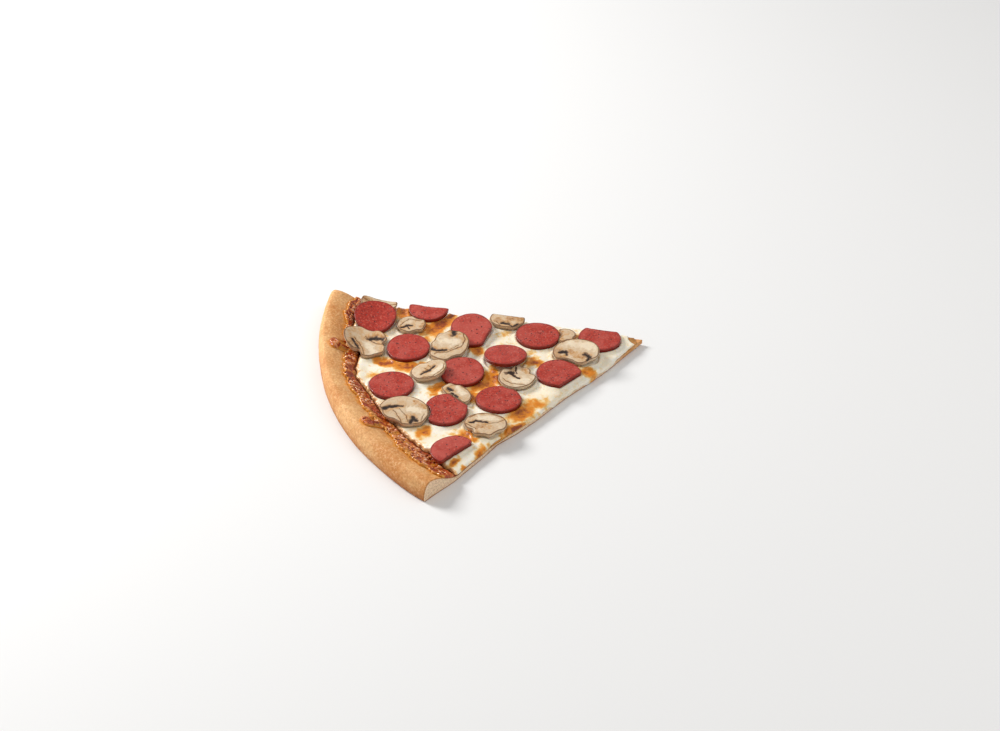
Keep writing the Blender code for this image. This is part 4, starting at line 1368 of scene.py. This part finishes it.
class SLICE_OT_cheese(bpy.types.Operator):
    """Builds the melted cheese with its browned patches"""

    bl_idname = "slice.cheese"
    bl_label = "Cheese"

    def execute(self, context):
        parts = np.linspace(0.0, 1.0, sizes().cheese_columns + 1)[:, None]
        edge = melt_edge(parts)
        share = np.linspace(0.0, 1.0, CHEESE_ROWS)[None]
        radius = mix(CHEESE_TIP, edge, share)
        x, y = polar(radius, parts)
        ends = rounded(edge - radius, ROUNDING_RIM) * smooth(radius, CHEESE_TIP, 20.0)
        browned = self.browned(x, y)
        free, hug = self.beside_toppings(x, y)
        lumps = ripples(11.0, x, y, 2.0, 2) + 0.3 * ripples(3.6, x, y, 5.0, 2)
        lumps = sizes().cheese_ripple * lumps + 0.25 * browned * grain(2.4, x, y, 9.0)
        fine = ends * (free * lumps + RIDGE * hug - DIP * (1.0 - free))
        bottom = cheese_bottom(radius, parts)
        thick = (cheese_top(radius, parts) - bottom) * rounded(edge - radius, MELT_ROUNDING)
        top = np.maximum(bottom + thick + fine, bottom + THINNEST_CHEESE)
        rim = 1.0 - smooth(edge - radius, 0.0, 3.2)
        low = 0.4 * (1.0 - smooth(radius * parts, 0.0, 1.5)) * smooth(radius, 60.0, 20.0)
        marks = marks_of(browned, rim, low)
        built = Builder()
        drape = self.drape(radius[0], top[0], bottom[0], marks[0])
        closed_layer(built, stack(x, y, top), stack(x, y, bottom), marks, drape)
        made = built.finish("cheese_layer", cheese_look(), "cheese")
        no_doubles(made)
        return {"FINISHED"}

    @staticmethod
    def drape(radius, top, bottom, marks):
        """Rows of points down the near cut, where the cheese has run over it."""
        runs = 0.62 + 0.9 * grain(16.0, radius, 3.0) + 0.5 * grain(6.0, radius, 8.0)
        span = smooth(radius, 16.0, 34.0) * (1.0 - smooth(radius, 108.0, 128.0))
        foot = mix(bottom - 0.15, np.minimum(0.25, bottom - 0.15), clip(runs) * span)
        swell = 0.35 + 0.25 * span + 0.2 * grain(5.0, radius, 12.0)
        rows = []
        row_marks = []
        for down, out in DRAPE:
            height = mix(top, foot, down)
            offset = swell * out * (1.0 + 0.3 * grain(3.0, radius, height, 2.0))
            x, y = polar(radius, -offset / (2.0 * HALF_ANGLE * radius))
            rows.append(stack(x, y, height))
            tinted = marks.copy()
            tinted[:, 2] = np.maximum(marks[:, 2], clip((1.6 - height) / 1.4))
            row_marks.append(tinted)
        return rows, row_marks

    @staticmethod
    def beside_toppings(x, y):
        """1 away from the toppings and 0 under them, and a low ridge along their edges."""
        nearest = np.full(x.shape, 20.0)
        for node in (*SAUSAGES, *MUSHROOMS):
            piece = Topping(node, OUTLINE_POINTS)
            reach = np.linalg.norm(piece.outline - piece.middle, axis=1).max() + 4.0
            close = np.hypot(x - piece.middle[0], y - piece.middle[1]) < reach
            nearest[close] = np.minimum(nearest[close], piece.outside(x[close], y[close]))
        free = smooth(nearest, -1.2, 0.6)
        return free, free * np.exp(-((nearest - RIDGE_AT) ** 2) / 2.6)

    @staticmethod
    def browned(x, y):
        """How browned the cheese is, 0 to 1, from its patches broken up by noise."""
        ragged_x = x + PATCH_RAGGED * ripples(7.0, x, y, 20.0)
        ragged_y = y + PATCH_RAGGED * ripples(7.0, x, y, 31.0)
        total = np.zeros_like(x)
        for px, py, length, width, turn, strength in BROWNED:
            c, s = math.cos(math.radians(turn)), math.sin(math.radians(turn))
            u = ((ragged_x - px) * c + (ragged_y - py) * s) / (PATCH_SPREAD * length)
            v = ((ragged_y - py) * c - (ragged_x - px) * s) / (PATCH_SPREAD * width)
            total = np.maximum(total, strength * (1.0 - smooth(np.hypot(u, v), 0.1, 1.55)))
        return total


class SLICE_OT_sausages(bpy.types.Operator):
    """Builds the sausage slices"""

    bl_idname = "slice.sausages"
    bl_label = "Sausage slices"

    def execute(self, context):
        look = sausage_look()

        def relief(x, y, gap):
            dome = 0.14 * smooth(gap, 0.0, 2.2) - 0.05 * smooth(gap, 3.0, 9.0)
            return dome - 0.12 + 0.07 * ripples(3.4, x, y, 4.0, 2)

        for node in SAUSAGES:
            # Paleness of the slice, partly painted sheen
            pale = SAUSAGE_PALENESS_AND_SHEEN.get(node, PLAIN_PALENESS)
            lines = SAUSAGE_LINES.get(node, ())

            def mark_face(x, y, gap):
                dark = 1.0 - smooth(gap, 0.1, 1.1)
                for line in lines:
                    dark = np.maximum(dark, 1.0 - smooth(to_line(x, y, line), 0.1, 0.6))
                return marks_of(dark, 0.0, pale)

            def mark_wall(wall):
                side = smooth(np.arange(len(wall)), 0.0, 5.0)[:, None]
                return marks_of(1.0, side * np.ones(wall.shape[:2]), pale)

            name = node.replace("_", "_slice_")
            made = build_topping(
                node, name, look, SAUSAGE_SHAPE, relief, mark_face, mark_wall
            )
            no_doubles(made)
        return {"FINISHED"}


class SLICE_OT_mushrooms(bpy.types.Operator):
    """Builds the mushroom slices"""

    bl_idname = "slice.mushrooms"
    bl_label = "Mushroom slices"

    def execute(self, context):
        look = mushroom_look()
        for node in MUSHROOMS:
            marks = MUSHROOM_MARKS.get(node, ())
            tone = MUSHROOM_TONES.get(node, PLAIN_TONE)

            def relief(x, y, gap):
                gill, line, _ = self.marked(marks, x, y)
                plain = 0.07 * ripples(5.0, x, y, 6.0, 2) - 0.1
                return plain - 0.3 * gill - 0.1 * line + 0.08 * smooth(gap, 0.0, 1.5)

            def mark_face(x, y, gap):
                gill, line, shade = self.marked(marks, x, y)
                edge = gap + 0.25 * grain(3.0, x, y)
                skin = 0.9 * (1.0 - smooth(edge, 0.1, 0.75))
                skin = skin + 0.34 * np.exp(-(((edge - 1.7) / 0.35) ** 2))
                streak = 0.1 * grain(2.6, x, y, 12.0)
                return marks_of(gill, np.maximum(skin, line), clip(tone + shade + streak))

            def mark_wall(wall):
                x, y, z = wall[..., 0], wall[..., 1], wall[..., 2]
                side = 0.1 + 0.25 * grain(4.0, x, y, z)
                # Painted shade: darker towards the foot of the wall, under the slice's edge
                side = side + 0.36 * smooth(np.arange(len(wall)), 6.5, 10.0)[:, None]
                bevel = 1.0 - smooth(np.arange(len(wall)), 1.5, 4.0)[:, None]
                return marks_of(0.0, clip(np.maximum(side, 0.85 * bevel)), tone - 0.12)

            name = node.replace("_", "_slice_")
            made = build_topping(
                node, name, look, MUSHROOM_SHAPE, relief, mark_face, mark_wall
            )
            no_doubles(made)
        return {"FINISHED"}

    @staticmethod
    def marked(marks, x, y):
        """Gills, thin lines and the change of tone, from the marks of one slice."""
        gill = np.zeros_like(x)
        line = np.zeros_like(x)
        shade = np.zeros_like(x)
        wander = 0.45 * ripples(2.2, x, y, 15.0, 2)
        x = x + 0.5 * ripples(3.2, x, y, 18.0, 2)
        y = y + 0.5 * ripples(3.2, x, y, 27.0, 2)
        for kind, half_width, places in marks:
            off = to_line(x, y, places) / half_width
            if kind == "gill":
                gill = np.maximum(gill, 1.0 - smooth(off + wander, 0.2, 1.5))
                shade = np.maximum(shade, 0.3 * (1.0 - smooth(off + wander, 0.8, 3.0)))
            elif kind == "line":
                line = np.maximum(line, 0.85 * (1.0 - smooth(off, 0.3, 1.6)))
                shade = np.maximum(shade, 0.14 * (1.0 - smooth(off, 1.0, 5.0)))
            elif kind == "stain":
                shade = shade + 0.55 * (1.0 - smooth(off + wander, 0.1, 1.2))
            else:
                shade = shade - 0.4 * (1.0 - smooth(off + wander, 0.2, 1.2))
                gill = gill * smooth(off, 0.3, 1.0)
        return gill, line, shade


# The camera's direction, its distance in metres from the place that it looks at, and its lens
CAMERA_AZIMUTH = -19.524
CAMERA_ELEVATION = 35.85
CAMERA_TARGET = (0.01052, 0.00661, 0.0)
CAMERA_DISTANCE = 1.3079
CAMERA_LENS = 73.08
SENSOR_WIDTH = 36.0
VIEW_END = 20.0
FLOOR_HALF = 4.0


class SLICE_OT_stage(bpy.types.Operator):
    """Builds the floor, the lights and the camera"""

    bl_idname = "slice.stage"
    bl_label = "Stage"

    def execute(self, context):
        scene = context.scene
        scene.view_settings.view_transform = "Standard"
        self.floor(scene)
        self.lights(scene)
        data = bpy.data.cameras.new("camera")
        data.lens = CAMERA_LENS
        data.sensor_width = SENSOR_WIDTH
        data.clip_end = VIEW_END
        camera = bpy.data.objects.new("camera", data)
        scene.collection.objects.link(camera)
        azimuth, elevation = math.radians(CAMERA_AZIMUTH), math.radians(CAMERA_ELEVATION)
        back = Vector(
            (
                math.sin(azimuth) * math.cos(elevation),
                -math.cos(azimuth) * math.cos(elevation),
                math.sin(elevation),
            )
        )
        camera.location = Vector(CAMERA_TARGET) + back * CAMERA_DISTANCE
        camera.rotation_euler = (-back).to_track_quat("-Z", "Y").to_euler()
        scene.camera = camera
        return {"FINISHED"}

    @staticmethod
    def floor(scene):
        mesh = bpy.data.meshes.new("floor")
        turns = ((-1, -1), (1, -1), (1, 1), (-1, 1))
        corners = [(FLOOR_HALF * x, FLOOR_HALF * y, 0) for x, y in turns]
        mesh.from_pydata(corners, [], [(0, 1, 2, 3)])
        plain = bpy.data.materials.new("floor")
        plain.use_nodes = True
        shader = plain.node_tree.nodes["Principled BSDF"]
        shader.inputs["Base Color"].default_value = colour(FLOOR_COLOUR)
        shader.inputs["Roughness"].default_value = 0.7
        mesh.materials.append(plain)
        made = bpy.data.objects.new("floor", mesh)
        scene.collection.objects.link(made)

    @staticmethod
    def lights(scene):
        world = bpy.data.worlds.new("studio")
        world.use_nodes = True
        background = world.node_tree.nodes["Background"]
        background.inputs["Color"].default_value = (1.0, 1.0, 1.0, 1.0)
        background.inputs["Strength"].default_value = sizes().sky
        scene.world = world
        for name, place, size, share in LAMPS:
            data = bpy.data.lights.new(name, "AREA")
            data.energy = sizes().light * share
            data.size = size
            lamp = bpy.data.objects.new(name, data)
            lamp.location = place
            lamp.rotation_euler = (-Vector(place)).to_track_quat("-Z", "Y").to_euler()
            scene.collection.objects.link(lamp)


class SLICE_PT_panel(bpy.types.Panel):
    """Lists the steps that build the slice"""

    bl_idname = "SLICE_PT_panel"
    bl_label = "Pizza slice"
    bl_space_type = "VIEW_3D"
    bl_region_type = "UI"
    bl_category = "Pizza slice"

    def draw(self, context):
        layout = self.layout
        for group in (context.scene.slice_sizes, context.scene.slice_colours):
            box = layout.box()
            for key in group.__annotations__:
                box.prop(group, key)
        for operator in OPERATORS:
            layout.operator(operator.bl_idname)


OPERATORS = (
    SLICE_OT_stage,
    SLICE_OT_dough,
    SLICE_OT_sauce,
    SLICE_OT_cheese,
    SLICE_OT_sausages,
    SLICE_OT_mushrooms,
)
CLASSES = (SliceColours, SliceSizes, *OPERATORS, SLICE_PT_panel)


def register():
    for made in CLASSES:
        bpy.utils.register_class(made)
    bpy.types.Scene.slice_sizes = PointerProperty(type=SliceSizes)
    bpy.types.Scene.slice_colours = PointerProperty(type=SliceColours)


def unregister():
    del bpy.types.Scene.slice_colours
    del bpy.types.Scene.slice_sizes
    for made in reversed(CLASSES):
        bpy.utils.unregister_class(made)


def write_sizes():
    """Updates the view layer."""
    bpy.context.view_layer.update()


def main():
    register()
    for operator in OPERATORS:
        name = operator.bl_idname.split(".")[1]
        getattr(bpy.ops.slice, name)()
    write_sizes()


if __name__ == "__main__":
    main()
